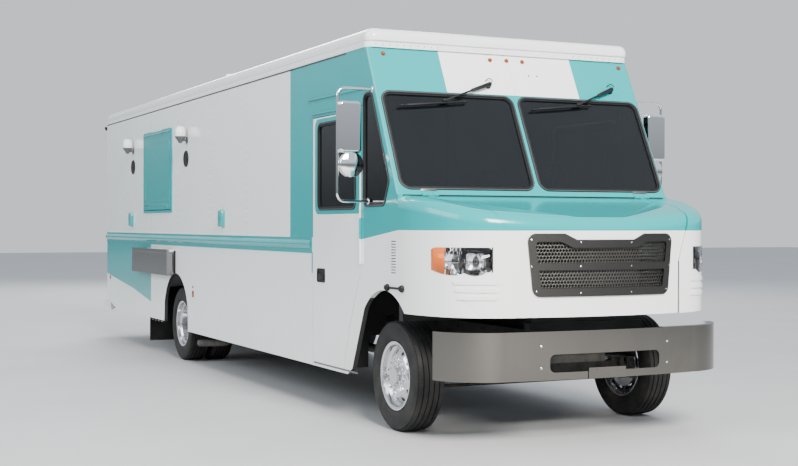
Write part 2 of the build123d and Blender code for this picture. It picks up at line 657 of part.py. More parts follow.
# Wheel sections as (offset from the tyre's middle, radius)
RIM_BARREL = ((-105, 262), (-98, 262), (-95, 247), (-62, 244), (-44, 228), (44, 228),
              (62, 244), (95, 247), (98, 262), (105, 262), (105, 250), (100, 238),
              (66, 233), (48, 216), (-48, 216), (-66, 233), (-100, 238), (-105, 250))
FRONT_DISC = ((14, 219), (34, 219), (78, 160), (78, 60), (58, 60), (58, 150))
REAR_DISC = ((-45, 219), (-26, 219), (-119, 150), (-125, 140), (-125, 60), (-139, 60), (-139, 150))
HAND_HOLES, HAND_HOLE_RADIUS = 10, 20.0


def tyre(x, station):
    """Tyre with flat tread and rounded walls."""
    w, r = TYRE_WIDTH / 2, TYRE_RADIUS
    bead = RIM_FLANGE_RADIUS + SEAT
    points = [(-w + 30, r), (w - 30, r), (w, r - 70), (w, r - 95), (w - 19, bead), (-w + 19, bead),
              (-w, r - 95), (-w, r - 70)]
    face = make_face(Polyline(*points, close=True))
    corners = [v for v in face.vertices() if v.Y > bead + 5]
    return turned(fillet(corners, 22), x, station)


def rear_tyres():
    """Left twin tyres."""
    return [tyre(OUTER_TYRE_X, REAR_AXLE), tyre(OUTER_TYRE_X - TWIN_SPACING, REAR_AXLE)]


def disc_with_holes(section, x, station, ring):
    """Wheel disc with its ring of hand holes."""
    disc = turned(face_of(section), x, station)
    for i in range(HAND_HOLES):
        a = radians(360 / HAND_HOLES * i)
        y, z = ring * cos(a), AXLE_HEIGHT + ring * sin(a)
        disc -= axle_rod(x - 200, x + 200, station + y, z, HAND_HOLE_RADIUS)
    return disc


def front_rim():
    """Left front wheel: barrel, convex disc, hub and brake disc."""
    x, hub = FRONT_TYRE_X, KINGPIN_X + 190
    wheel = turned(face_of(RIM_BARREL), x, FRONT_AXLE)
    wheel += disc_with_holes(FRONT_DISC, x, FRONT_AXLE, 184)
    wheel += axle_rod(KINGPIN_X + 96, x + 70, FRONT_AXLE, AXLE_HEIGHT, 68)
    wheel += axle_rod(x + 60, x + 118, FRONT_AXLE, AXLE_HEIGHT, 62)
    wheel += axle_rod(KINGPIN_X + 96, KINGPIN_X + 124, FRONT_AXLE, AXLE_HEIGHT, 180)
    bore = axle_rod(KINGPIN_X + 90, hub + 6, FRONT_AXLE, AXLE_HEIGHT, SPINDLE_RADIUS + RUNNING_FIT)
    return wheel - bore


def rear_rims():
    """Left twin wheels: two dished rims back to back on one hub, with the brake drum."""
    s, inner_x = REAR_AXLE, OUTER_TYRE_X - TWIN_SPACING
    wheel = turned(face_of(RIM_BARREL), OUTER_TYRE_X, s)
    wheel += disc_with_holes(REAR_DISC, OUTER_TYRE_X, s, 184)
    facing = [(-a, r) for a, r in REAR_DISC]
    wheel += turned(face_of(RIM_BARREL), inner_x, s) + disc_with_holes(facing, inner_x, s, 184)
    wheel += axle_rod(580, HUB_PLANE_X + 20, s, AXLE_HEIGHT, 100)
    wheel += axle_rod(580, 720, s, AXLE_HEIGHT, 200)
    wheel += axle_rod(HUB_PLANE_X, HUB_PLANE_X + 150, s, AXLE_HEIGHT, 85)
    bore = axle_rod(570, HUB_PLANE_X + 112, s, AXLE_HEIGHT, REAR_SPINDLE_RADIUS + RUNNING_FIT)
    return wheel - bore


# Floor and inside walls

def wheel_box(s0, s1):
    """Right wheel box over a tyre, open below and outboard."""
    tub = block(-INNER, -WHEEL_BOX_INNER + TUB, s0, s1, FLOOR_BOTTOM, WHEEL_BOX_TOP)
    space = block(-INNER - 1, -WHEEL_BOX_INNER, s0 + TUB, s1 - TUB, FLOOR_BOTTOM - 1, WHEEL_BOX_TOP - TUB)
    return tub - space


REAR_BOX = (REAR_AXLE - 530, REAR_AXLE + 630)
FRONT_BOX = (NOSE_JOINT + FIREWALL, 1320.0)


def kitchen_floor():
    """Load-space floor on cross sills, with the rear wheel boxes."""
    floor = block(-INNER, INNER, CAB_END, WALL_REAR, FLOOR_BOTTOM, FLOOR_TOP)
    cut = block(-INNER - 1, -WHEEL_BOX_INNER, *REAR_BOX, 0, 2000)
    floor -= cut + left_of(cut)
    box = wheel_box(*REAR_BOX)
    floor += box + left_of(box)
    sills = int((WALL_REAR - CAB_END) // 800)
    pitch = (WALL_REAR - CAB_END - 60) / sills
    for i in range(sills + 1):
        s = CAB_END + i * pitch
        reach = WHEEL_BOX_INNER - TUB if REAR_BOX[0] - 60 < s < REAR_BOX[1] else INNER
        floor += block(-reach, reach, s, s + 60, RAIL_TOP, FLOOR_BOTTOM)
    return floor


STEP_WELL = (1604.0, 2266.0)            # stations inside the well
STEPS = ((1020.0, 420.0), (865.0, 680.0))       # inner x and tread height of each step


def step_well():
    """Right step well with two treads, as a bent sheet with end walls."""
    (x1, z1), (x2, z2) = STEPS
    s0, s1 = STEP_WELL
    space = [(-INNER, z1), (-x1, z1), (-x1, z2), (-x2, z2), (-x2, FLOOR_TOP + 1), (-INNER, FLOOR_TOP + 1)]
    solid = [(-INNER, z1 - TUB), (-x1 + TUB, z1 - TUB), (-x1 + TUB, z2 - TUB),
             (-x2 + TUB, z2 - TUB), (-x2 + TUB, FLOOR_TOP), (-INNER, FLOOR_TOP)]
    inside = [(x - 1 if x == -INNER else x, z) for x, z in space]
    return cross_plate(solid, s0 - TUB, s1 + TUB), cross_plate(inside, s0, s1)


def cab_floor():
    """Cab floor with both step wells and the front wheel boxes."""
    floor = block(-INNER, INNER, FRONT_BOX[1] - TUB, CAB_END, FLOOR_BOTTOM, FLOOR_TOP)
    between = WHEEL_BOX_INNER - TUB
    floor += block(-between, between, *FRONT_BOX, FLOOR_BOTTOM, FLOOR_TOP)
    box = wheel_box(*FRONT_BOX)
    floor += box + left_of(box)
    shell, space = step_well()
    floor = (floor + shell + left_of(shell)) - space - left_of(space)
    floor -= block(-345, 345, FRONT_BOX[0] - 1, 1480, FLOOR_BOTTOM - 1, FLOOR_TOP + 1)
    for s in (2080, CAB_END - 120):
        floor += block(-840, 840, s, s + 60, RAIL_TOP, FLOOR_BOTTOM)
    return floor


def firewall():
    """Wall under the windscreen, with the engine cover that stands into the cab."""
    wall = block(-INNER, INNER, NOSE_JOINT, NOSE_JOINT + FIREWALL, FLOOR_BOTTOM, COWL_TOP)
    cover = block(-385, 385, NOSE_JOINT + FIREWALL, 1520, FLOOR_TOP, 1440)
    cover = fillet(cover.edges().filter_by(lambda e: e.center().Z > 1430 and e.center().Y > st(700)), 40)
    wall += cover
    return wall - block(-345, 345, NOSE_JOINT - 1, 1480, FLOOR_BOTTOM - 1, 1400)


def partition():
    """Wall between cab and load space, with its doorway."""
    wall = block(-INNER, INNER, CAB_END - WALL, CAB_END, FLOOR_TOP, WALL_TOP)
    return wall - block(-DOORWAY_HALF, DOORWAY_HALF, CAB_END - WALL - 1, CAB_END + 1, FLOOR_TOP - 1, 2860)


def dashboard():
    """Dashboard with the steering column."""
    s = NOSE_JOINT + FIREWALL
    panel = side_plate([(s, 1480), (s, 1788), (s + 60, 1800), (s + 330, 1770), (s + 390, 1690),
                        (s + 370, 1560), (s + 250, 1480)], -INNER + 4, INNER - 4)
    column, hub = wheel_axis()
    low, neck, tip = (hub + column * reach for reach in (-560, -62, 8))
    tube = rod((STEERING_X, low.Y, low.Z), (STEERING_X, neck.Y, neck.Z), 32)
    return panel + tube + rod((STEERING_X, low.Y, low.Z), (STEERING_X, tip.Y, tip.Z), STEERING_PIN)


STEERING_X = 600.0
STEERING_CENTRE = (1405.0, 1905.0)      # station, z
STEERING_SLOPE = 32.0                   # column above horizontal
STEERING_RADIUS = 225.0
STEERING_PIN = 11.0


def wheel_axis():
    """Column direction and wheel centre, with stations in place of Y."""
    a = radians(STEERING_SLOPE)
    return Vector(0, cos(a), sin(a)), Vector(STEERING_X, *STEERING_CENTRE)


def steering_wheel():
    """Rim, three spokes and a hub on the column's pin."""
    column, centre = wheel_axis()
    middle = (centre.X, st(centre.Y), centre.Z)
    plane = Plane(origin=middle, x_dir=(1, 0, 0), z_dir=(0, column.Y, column.Z))
    wheel = Torus(STEERING_RADIUS, 15) + Pos(0, 0, -35) * Cylinder(38, 50)
    for angle in (-90, 20, 160):
        spoke = Pos(STEERING_RADIUS / 2, 0, -8) * Box(STEERING_RADIUS, 34, 12)
        wheel += Rot(0, 0, angle) * spoke
    wheel -= Pos(0, 0, -31) * Cylinder(STEERING_PIN + RUNNING_FIT, 80)
    return plane * wheel


SEAT_X = 600.0


def driver_seat():
    """Pedestal and seat pan."""
    frame = block(SEAT_X - 190, SEAT_X + 190, 1840, 2200, FLOOR_TOP, FLOOR_TOP + 30)
    frame += block(SEAT_X - 110, SEAT_X + 110, 1900, 2140, FLOOR_TOP + 30, 1270)
    frame += block(SEAT_X - 230, SEAT_X + 230, 1760, 2270, 1270, 1300)
    back = [(2200, 1300), (2305, 1900), (2340, 1900), (2250, 1300)]
    return frame + side_plate(back, SEAT_X - 200, SEAT_X + 200)


def seat_cushions():
    """Seat and back cushions."""
    seat = side_plate([(1740, 1300 + SEAT), (2190, 1300 + SEAT), (2190, 1395), (1740, 1415)],
                      SEAT_X - 240, SEAT_X + 240)
    lean = side_plate([(2120, 1430), (2222.4, 1430), (2332.6, 2060), (2245, 2080)],
                      SEAT_X - 230, SEAT_X + 230)
    seat = fillet(seat.edges().filter_by(Axis.X), 25)
    lean = fillet(lean.edges().filter_by(Axis.X), 25)
    return [seat, lean]


# Body shell

def screen_plane(depth=0.0):
    """Windscreen plane: x across, y up the slope, z outwards; moved inwards by a depth."""
    normal = Vector(0, -cos(SCREEN_ANGLE), sin(SCREEN_ANGLE))
    origin = Vector(0, st(SCREEN_FOOT[0]), SCREEN_FOOT[1]) - normal * depth
    return Plane(origin=origin, x_dir=(1, 0, 0), z_dir=normal)


def up_slope(z):
    """Distance up the windscreen plane of a height."""
    return (z - SCREEN_FOOT[1]) / cos(SCREEN_ANGLE)


def screen_face(inset):
    """Right windscreen's outline on its plane."""
    x0, x1, low, high = WINDSCREEN
    face = face_of(rect(-x1, -x0, up_slope(low), up_slope(high)), WINDSCREEN_CORNER)
    return offset(face, -inset)


def windscreen_frame():
    """Front frame with both windscreen openings."""
    face = face_of(rect(-HALF, HALF, -200, up_slope(WALL_TOP) + 200))
    plate = extrude(screen_plane() * face, -SCREEN_FRAME)
    corners = [e for e in plate.edges() if e.length > 900 and abs(abs(e.center().X) - HALF) < 1]
    corners.sort(key=lambda e: e.center().Y)
    plate = fillet(corners[:2], PILLAR_RADIUS)
    plate &= block(-HALF, HALF, NOSE_JOINT, 2500, COWL_TOP, WALL_TOP)
    for face in both(screen_face(GASKET_INSET)):
        plate -= extrude(screen_plane(-10) * face, -SCREEN_FRAME - 20)
    return plate


def windscreens():
    """Both windscreens and both quarter windows."""
    pane = extrude(screen_plane(GLASS_DEPTH) * screen_face(GASKET_INSET + GLASS_GAP), -GLASS)
    outer = -HALF + GLASS_DEPTH
    quarter = side_solid(quarter_face(GASKET_INSET + GLASS_GAP), outer, outer + GLASS)
    return both(pane) + both(quarter)


def quarter_face(inset):
    """Quarter window's outline."""
    return offset(side_face(QUARTER_WINDOW, 62), -inset)


def door_face(inset):
    """Cab door's outline, open enough below to clear the skirt."""
    return side_face(CAB_DOOR, inset=inset)


def door_window_face(inset):
    """Cab door window's outline."""
    s0, s1, low, high = DOOR_WINDOW
    return offset(side_face(rect(s0, s1, low, high), 60), -inset)


def cab_door_hinge():
    """Fixed and moving halves of the right cab door's hinge."""
    low, high = CAB_DOOR[5][1] + 40, CAB_DOOR[0][1] - 30
    middle = (-HALF, st(CAB_DOOR[0][0]), (low + high) / 2)
    return hinge(Plane(origin=middle, x_dir=(0, -1, 0), z_dir=(0, 0, -1)), high - low, 40)


def cab_side():
    """Right cab side: front post, header and rear post round the door."""
    lean = SCREEN_FRAME / cos(SCREEN_ANGLE)
    slope = (SCREEN_HEAD[0] - SCREEN_FOOT[0]) / (SCREEN_HEAD[1] - SCREEN_FOOT[1])
    foot = SCREEN_FOOT[0] + lean + (COWL_TOP - SCREEN_FOOT[1]) * slope
    outline = [(NOSE_JOINT, SKIRT_BOTTOM), (NOSE_JOINT, COWL_TOP), (foot, COWL_TOP),
               (SCREEN_HEAD[0] + lean, WALL_TOP), (CAB_END, WALL_TOP), (CAB_END, SKIRT_BOTTOM)]
    side = side_plate(outline, -HALF, -INNER)
    side -= front_arch()
    side -= side_solid(door_face(0), -HALF - 5, -INNER + 5)
    side -= side_solid(quarter_face(GASKET_INSET), -HALF - 5, -INNER + 5)
    fixed, moving = cab_door_hinge()
    return max(side.solids(), key=lambda s: s.volume) + fixed


def cab_door():
    """Right cab door with its window opening and recessed handle."""
    door = side_solid(door_face(DOOR_GAP), -HALF, -INNER)
    door -= side_solid(door_window_face(GASKET_INSET), -HALF - 5, -INNER + 5)
    door -= side_plate(rect(1990, 2170, 1078, 1198), -HALF - 5, -HALF + 18, 12)
    door += side_plate(rect(2004, 2156, 1146, 1184), -HALF + 4, -HALF + 19, 6)
    return door + cab_door_hinge()[1]


def cab_door_glass():
    """Right cab door's window pane."""
    outer = -HALF + GLASS_DEPTH
    return side_solid(door_window_face(GASKET_INSET + GLASS_GAP), outer, outer + GLASS)


def rear_arch():
    """Cutter for the rear wheel arches."""
    s = REAR_AXLE + 51
    crown = ThreePointArc((st(s - 496), 640), (st(s), 1000), (st(s + 487), 640))
    rest = Polyline((st(s + 487), 640), (st(s + 515), 300), (st(s - 515), 300), (st(s - 496), 640))
    return side_solid(make_face([crown, rest]), -HALF - 50, HALF + 50)


def hatch_hinge():
    """Fixed and moving halves of the hatch's hinge, along its upper rim."""
    s0, s1, low, high = HATCH
    middle = (-HALF - HATCH_PROUD, st((s0 + s1) / 2), high - HATCH_RIM)
    plane = Plane(origin=middle, x_dir=(0, 0, 1), z_dir=(0, -1, 0))
    return hinge(plane, s1 - s0 - 2 * HATCH_RIM - 40, 34)


def hatch_face(inset):
    """Hatch opening's outline."""
    s0, s1, low, high = HATCH
    return side_face(rect(s0, s1, low, high), inset=HATCH_RIM + inset)


def side_wall():
    """Right load-space wall down to the skirt, without the hatch."""
    tail = BODY_REAR - TAIL_CUT
    rise = (TAIL_CUT_TOP - REAR_SKIRT_BOTTOM) * (WALL_REAR - tail) / TAIL_CUT
    step = REAR_AXLE + 50
    outline = [(CAB_END, SKIRT_BOTTOM), (step, SKIRT_BOTTOM), (step, REAR_SKIRT_BOTTOM),
               (tail, REAR_SKIRT_BOTTOM), (WALL_REAR, REAR_SKIRT_BOTTOM + rise), (WALL_REAR, WALL_TOP),
               (CAB_END, WALL_TOP)]
    return side_plate(outline, -HALF, -INNER) - rear_arch()


def serving_wall():
    """Right wall with the hatch's rim and the shelf's brackets and pin."""
    s0, s1, low, high = HATCH
    wall = side_wall() + side_plate(rect(s0, s1, low, high), -HALF - HATCH_PROUD, -HALF + 1)
    wall -= side_solid(hatch_face(0), -HALF - HATCH_PROUD - 5, -INNER + 5)
    wall += hatch_hinge()[0]
    x, z = -HALF - SHELF_STANDOFF, SHELF_PIN_HEIGHT
    brackets = shelf_brackets()
    for s in brackets:
        wall += block(x, -HALF + 1, s - 15, s + 15, z - SHELF_BARREL, z + SHELF_BARREL)
        wall += rod((x, s - 15, z), (x, s + 15, z), SHELF_BARREL)
    return wall + rod((x, brackets[0], z), (x, brackets[-1], z), SHELF_PIN)


def shelf_brackets():
    """Stations of the shelf's wall brackets."""
    first, last, count = SHELF[0] + 60, SHELF[1] - 60, 4
    return [first + (last - first) * i / (count - 1) for i in range(count)]


def serving_hatch():
    """Hatch panel hung from the rim's upper edge."""
    panel = side_solid(hatch_face(HATCH_GAP), -HALF - HATCH_PROUD, -INNER)
    return panel + hatch_hinge()[1]


def serving_shelf():
    """Folding shelf with end flanges, hanging down outboard of its pin."""
    pin, z = -HALF - SHELF_STANDOFF, SHELF_PIN_HEIGHT
    back = pin - SHELF_BARREL - 5
    shelf = block(back - SHELF_THICKNESS, back, SHELF[0], SHELF[1], SHELF_LOW, z + SHELF_BARREL)
    for s in (SHELF[0], SHELF[1] - 4):
        shelf += block(back - 1, back + SHELF_FLANGE, s, s + 4, SHELF_LOW, z - 2 * SHELF_BARREL)
    brackets = shelf_brackets()
    for before, after in zip(brackets, brackets[1:]):
        s0, s1 = (before + after) / 2 - 120, (before + after) / 2 + 120
        shelf += rod((pin, s0, z), (pin, s1, z), SHELF_BARREL)
        shelf += block(back - 1, pin, s0, s1, z - SHELF_BARREL, z)
        shelf -= rod((pin, s0 - 1, z), (pin, s1 + 1, z), SHELF_PIN + RUNNING_FIT)
    return shelf


def rear_hinge():
    """Fixed and moving halves of the right rear door's hinge."""
    half, top = REAR_DOORWAY
    middle = (-half, st(BODY_REAR), (FLOOR_TOP + top) / 2)
    plane = Plane(origin=middle, x_dir=(-1, 0, 0), z_dir=(0, 0, -1))
    return hinge(plane, top - FLOOR_TOP - 120, 40)


def rear_wall():
    """Rear frame round the double doors."""
    half, top = REAR_DOORWAY
    wall = block(-HALF, HALF, WALL_REAR, BODY_REAR, TAIL_CUT_TOP, WALL_TOP)
    wall -= block(-half, half, WALL_REAR - 1, BODY_REAR + 1, FLOOR_TOP, top)
    fixed = rear_hinge()[0]
    return wall + fixed + left_of(fixed)


def rear_window(inset):
    """Right rear door window's outline as a face of (x, z)."""
    x0, x1, low, high = REAR_WINDOW
    return offset(face_of(rect(-x1, -x0, low, high), 50), -inset)


def rear_solid(face, s0, s1):
    """Extrude an (x, z) face between two stations."""
    return extrude(Plane(origin=(0, st(s1), 0), x_dir=(1, 0, 0), z_dir=(0, -1, 0)) * face, s1 - s0)


def rear_door():
    """Right rear door with its window opening."""
    half, top = REAR_DOORWAY
    door = block(-half + DOOR_GAP, -MEETING_GAP / 2, WALL_REAR, BODY_REAR,
                 FLOOR_TOP + DOOR_GAP, top - DOOR_GAP)
    door -= rear_solid(rear_window(GASKET_INSET), WALL_REAR - 5, BODY_REAR + 5)
    return door + rear_hinge()[1]


def rear_door_glass():
    """Right rear door's window pane."""
    outer = BODY_REAR - GLASS_DEPTH
    return rear_solid(rear_window(GASKET_INSET + GLASS_GAP), outer - GLASS, outer)


ROOF_LIP = 6.0                  # roof edge outside the walls
ROOF_FRONT = SCREEN_HEAD[0] - 34
ROOF_FLANGE = 46.0              # riveted flange under the rounded cap
ROOF_BROW = 14.0                # cap ahead of the flange
ROOF_EDGE = 66.0
ROOF_SHELL = 55.0


def roof():
    """Roof with rounded edges, hollow beneath, and its vent."""
    side, rear, seam = HALF + ROOF_LIP, BODY_REAR + ROOF_LIP, WALL_TOP + ROOF_FLANGE
    shell = plan_plate(rect(-side, side, ROOF_FRONT, rear), seam, WALL_TOP + ROOF_RISE, 75)
    shell = fillet(shell.faces().sort_by(Axis.Z)[-1].edges(), ROOF_EDGE)
    shell = fillet(shell.faces().sort_by(Axis.Z)[0].edges().sort_by(Axis.Y)[0], ROOF_BROW - 2)
    shell += plan_plate(rect(-side, side, ROOF_FRONT + ROOF_BROW, rear), WALL_TOP, seam, 75)
    top = WALL_TOP + ROOF_RISE
    shell -= block(-INNER, INNER, SCREEN_HEAD[0] + 120, WALL_REAR, WALL_TOP - 1, top - ROOF_SHELL)
    x, s = -HALF + 269, REAR_AXLE - 1150
    vent = rod((x, s, top - 5), (x, s, top + 55), 30) + rod((x, s, top + 50), (x, s, top + 90), 48)
    return shell + vent


def hood_hinge():
    """Fixed and moving halves of the right hood hinge, from the windscreen frame's foot to the hood."""
    up = Vector(0, sin(SCREEN_ANGLE), cos(SCREEN_ANGLE))
    out = Vector(0, -cos(SCREEN_ANGLE), sin(SCREEN_ANGLE))
    (s0, z0), (s1, z1) = VALLEY
    fall = atan2(z0 - z1, s0 - s1)
    pin_station, pin_height = hood_pin()
    foot = Vector(-HALF + HOOD_HINGE, st(pin_station), pin_height) - out * HINGE_RISE
    plane = Plane(origin=foot, x_dir=up, z_dir=(1, 0, 0))
    return hinge(plane, 134, 34, fold=90 - degrees(SCREEN_ANGLE + fall))


def rub_rails():
    """Flat band with its half-round moulding, on each side."""
    low, high = RUB_BAND
    band = block(-HALF - 4, -HALF, RUB_FRONT, BODY_REAR, low, high)
    low, high = RUB_MOULDING
    root = -HALF - 2
    bow = ThreePointArc((root, low), (root - 24, (low + high) / 2), (root, high))
    bead = make_face([bow, Line(bow @ 1, bow @ 0)])
    return both(band + rear_solid(bead, RUB_FRONT + 15, BODY_REAR - 5))


# Outside fittings

MIRROR_X = 1508.0
MIRROR_STATION = 1030.0


def mirror_set():
    """Right mirror: bent tube frame, tall head and round convex head."""
    x, s = -MIRROR_X, MIRROR_STATION
    frame = pipe(((-INNER, s, 2614), (x, s, 2614), (x, s, 1747), (-INNER, s + 70, 1747)), 11, 60)
    frame -= block(-HALF, HALF, s - 100, s + 200, 1700, 2700)
    head = block(x - 5, x + 178, s - 62, s + 8, 2115, 2512)
    head = fillet(head.edges().filter_by(Axis.Y), 30)
    head = fillet(head.faces().sort_by(Axis.Y)[0].edges(), 20)
    disc = rod((x + 105, s - 34, 2028), (x + 105, s + 8, 2028), 98)
    return frame + head + disc


# Pivot, arm end and blade ends of each wiper as (x, z)
WIPERS = (((-216.0, 2679.0), (-651.0, 2530.0), (-1059.0, 2477.0), (-453.0, 2533.0)),
          ((954.0, 2688.0), (589.0, 2546.0), (125.0, 2489.0), (717.0, 2549.0)))


def wipers():
    """Pivot, arm and blade of each wiper."""
    def bar(start, end, rise, wide, thick):
        a, b = (Vector(x, up_slope(z)) for x, z in (start, end))
        turn = Rot(0, 0, degrees(atan2(b.Y - a.Y, b.X - a.X)))
        return Pos((a.X + b.X) / 2, (a.Y + b.Y) / 2, rise) * turn * Box((b - a).length, wide, thick)

    made = []
    for pivot, arm_end, inner_tip, outer_tip in WIPERS:
        piece = Pos(pivot[0], up_slope(pivot[1]), 22) * Cylinder(22, 44)
        piece += bar(pivot, arm_end, 34, 22, 14) + bar(inner_tip, outer_tip, 20, 16, 20)
        made.append(screen_plane() * piece)
    return made


SIDE_LAMPS = (6130.0, 8610.0)
SIDE_DISCS = (6162.0, 8615.0)
SIDE_BOXES = (4800.0, 8670.0)


def side_fittings():
    """Wall lamps, round vents, socket boxes and the corner light."""
    made = []
    for s in SIDE_LAMPS:
        lamp = Pos(-HALF - 78, st(s), 2610) * Sphere(62)
        lamp += rod((-HALF, s, 2560), (-HALF - 78, s, 2560), 20)
        lamp += Pos(-HALF - 78, st(s), 2520) * Cone(58, 40, 80, rotation=(180, 0, 0))
        made.append(lamp)
    for s in SIDE_DISCS:
        made.append(rod((-HALF, s, 2308), (-HALF - 12, s, 2308), 93))
    for s in SIDE_BOXES:
        made.append(block(-HALF - 40, -HALF, s - 60, s + 60, 1543, 1712))
    made.append(block(-HALF - 20, -HALF + 90, BODY_REAR, BODY_REAR + 90, 2860, 2940))
    return made


def tail_lamps():
    """Two round lamps each side of the rear doors."""
    return [rod((x, BODY_REAR, z), (x, BODY_REAR + 28, z), 55) for z in (1180, 1340) for x in (-960, 960)]


MUD_FLAP_PLACE = 1400.0         # behind the rear axle
MUD_FLAP_LOW = 110.0


def mud_flap():
    """Right flap, hung from the floor behind the twin wheels."""
    s = REAR_AXLE + MUD_FLAP_PLACE
    return block(-INNER + 9, -660, s, s + 10, MUD_FLAP_LOW, FLOOR_BOTTOM)


# Nodes

def build():
    """Every node's shape by name."""
    cowl_leaf, hood_leaf = hood_hinge()
    hood = hood_panel() + hood_leaf + left_of(hood_leaf)
    screen = windscreen_frame() + cowl_leaf + left_of(cowl_leaf)
    return {
        "chassis_frame": node(chassis_frame()),
        "engine": node(engine()),
        "radiator": node(radiator()),
        "fuel_tank": node(fuel_tank()),
        "exhaust": node(exhaust()),
        "front_axle": node(front_axle()),
        "rear_axle": node(rear_axle()),
        "knuckle_right": node(knuckle()),
        "knuckle_left": node(left_of(knuckle())),
        "tie_rod": node(tie_rod()),
        "front_tyre_left": node(tyre(FRONT_TYRE_X, FRONT_AXLE)),
        "front_tyre_right": node(left_of(tyre(FRONT_TYRE_X, FRONT_AXLE))),
        "front_rim_left": node(front_rim()),
        "front_rim_right": node(left_of(front_rim())),
        "rear_tyres_left": node(*rear_tyres()),
        "rear_tyres_right": node(*[left_of(t) for t in rear_tyres()]),
        "rear_rims_left": node(rear_rims()),
        "rear_rims_right": node(left_of(rear_rims())),
        "kitchen_floor": node(kitchen_floor()),
        "cab_floor": node(cab_floor()),
        "firewall": node(firewall()),
        "partition": node(partition()),
        "dashboard": node(dashboard()),
        "steering_wheel": node(steering_wheel()),
        "driver_seat": node(driver_seat()),
        "seat_cushions": node(*seat_cushions()),
        "windscreen_frame": node(screen),
        "cab_windows": node(*windscreens()),
        "cab_side_right": node(cab_side()),
        "cab_side_left": node(left_of(cab_side())),
        "side_wall_right": node(serving_wall()),
        "side_wall_left": node(left_of(side_wall())),
        "rear_wall": node(rear_wall()),
        "roof": node(roof()),
        "cab_door_right": node(cab_door()),
        "cab_door_left": node(left_of(cab_door())),
        "cab_door_glass_right": node(cab_door_glass()),
        "cab_door_glass_left": node(left_of(cab_door_glass())),
        "rear_door_right": node(rear_door()),
        "rear_door_left": node(left_of(rear_door())),
        "rear_door_glass_right": node(rear_door_glass()),
        "rear_door_glass_left": node(left_of(rear_door_glass())),
        "serving_hatch": node(serving_hatch()),
        "serving_shelf": node(serving_shelf()),
        "fenders": node(*both(right_fender())),
        "hood": node(hood),
        "grille": node(grille()),
        "grille_sheet": node(grille_sheet()),
        "headlights": node(*both(headlight())),
        "front_bumper": node(front_bumper()),
        "rear_bumper": node(rear_bumper()),
        "rub_rails": node(*rub_rails()),
        "mirrors": node(*both(mirror_set())),
        "wipers": node(*wipers()),
        "side_fittings": node(*side_fittings()),
        "tail_lamps": node(*tail_lamps()),
        "mud_flaps": node(*both(mud_flap())),
    }


os.makedirs("parts", exist_ok=True)
for name, shape in build().items():
    export_step(shape, f"parts/{name}.step")
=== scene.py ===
"""Looks of a two-tone food truck, built round its packed frame. Metres; +X is the truck's left, -Y its nose."""

import json
from math import atan2, cos, pi, radians, sin, sqrt, tan

import bmesh
import bpy
from bpy.props import FloatProperty, FloatVectorProperty, IntProperty, PointerProperty
from mathutils import Matrix, Vector
from mathutils.bvhtree import BVHTree


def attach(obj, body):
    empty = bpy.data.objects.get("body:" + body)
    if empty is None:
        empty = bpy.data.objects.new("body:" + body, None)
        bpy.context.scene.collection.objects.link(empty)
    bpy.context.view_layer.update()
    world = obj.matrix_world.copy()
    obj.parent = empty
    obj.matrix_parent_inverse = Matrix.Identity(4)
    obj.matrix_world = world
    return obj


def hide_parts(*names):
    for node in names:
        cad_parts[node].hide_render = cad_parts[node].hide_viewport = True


bl_info = {
    "name": "Food Truck Looks",
    "version": (1, 0, 0),
    "blender": (4, 5, 0),
    "location": "3D View > Sidebar > Truck",
    "description": "Paint, glass, wheels, lamps and trim of a walk-in food truck",
    "category": "Object",
}

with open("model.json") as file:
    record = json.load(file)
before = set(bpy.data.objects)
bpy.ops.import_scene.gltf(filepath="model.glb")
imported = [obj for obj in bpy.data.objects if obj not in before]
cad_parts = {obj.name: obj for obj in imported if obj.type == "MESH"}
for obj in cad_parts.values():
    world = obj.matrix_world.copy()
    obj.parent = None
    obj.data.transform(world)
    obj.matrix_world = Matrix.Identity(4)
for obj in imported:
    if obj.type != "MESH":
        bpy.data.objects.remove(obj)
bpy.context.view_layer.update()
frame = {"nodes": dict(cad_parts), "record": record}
BODY = "chassis_body"
CAB_DOORS = ("cab_door_right_body", "cab_door_left_body")
REAR_DOORS = ("rear_door_right_body", "rear_door_left_body")
DATUM = 5.0                     # the frame's origin is this far behind the bumper tips' line

HALF_WIDTH = 1.219              # of the body's panels
BODY_REAR = 10.125              # station of the rear wall's outside
SCREEN_FOOT = (0.560, 1.804)    # station and height of the windscreen plane's foot
SCREEN_SLOPE = atan2(1.132 - 0.560, 2.957 - 1.804)
AXLES = (0.790, 6.550)          # stations
AXLE_HEIGHT = 0.419
FRONT_TYRE_X = 1.028
TWIN_TYRES_X = (1.046, 0.768)
PANEL = 1.22                    # length of a side panel between its seams

# The nose's plan: middle (x, station) and radius of its side, corner and front arcs, and where they meet
NOSE_ARCS = (((-0.0665, 0.500), 1.2855), ((0.6812, 0.2063), 0.4822), ((0.0, 2.5648), 2.9369))
CORNER_FROM, CORNER_TO = 0.815, 1.130

ACROSS, BACK, UP = Vector((1, 0, 0)), Vector((0, 1, 0)), Vector((0, 0, 1))


def along(station):
    """Y of a station behind the bumper tips' line."""
    return station - DATUM


def at(x, station, z):
    """A point from its x, station and height."""
    return Vector((x, along(station), z))


def plane(origin, across, up, out):
    """Placement whose axes run across, up and out of a surface."""
    turn = Matrix((across, up, out)).transposed().to_4x4()
    return Matrix.Translation(origin) @ turn


def side_plane(x):
    """Placement facing out of the truck's right side at an x, read as (station, height)."""
    return plane(at(x, 0, 0), BACK, UP, -ACROSS)


def front_plane(station):
    """Placement facing forwards at a station, read as (x, height)."""
    return plane(at(0, station, 0), ACROSS, UP, -BACK)


def rear_plane(point):
    """Placement facing backwards through a point, read across and up from it."""
    return plane(point, ACROSS, UP, BACK)


def screen_plane(point):
    """Placement facing out of the windscreen through a point, read across and up from it."""
    return plane(point, ACROSS, SCREEN_UP, SCREEN_OUT)


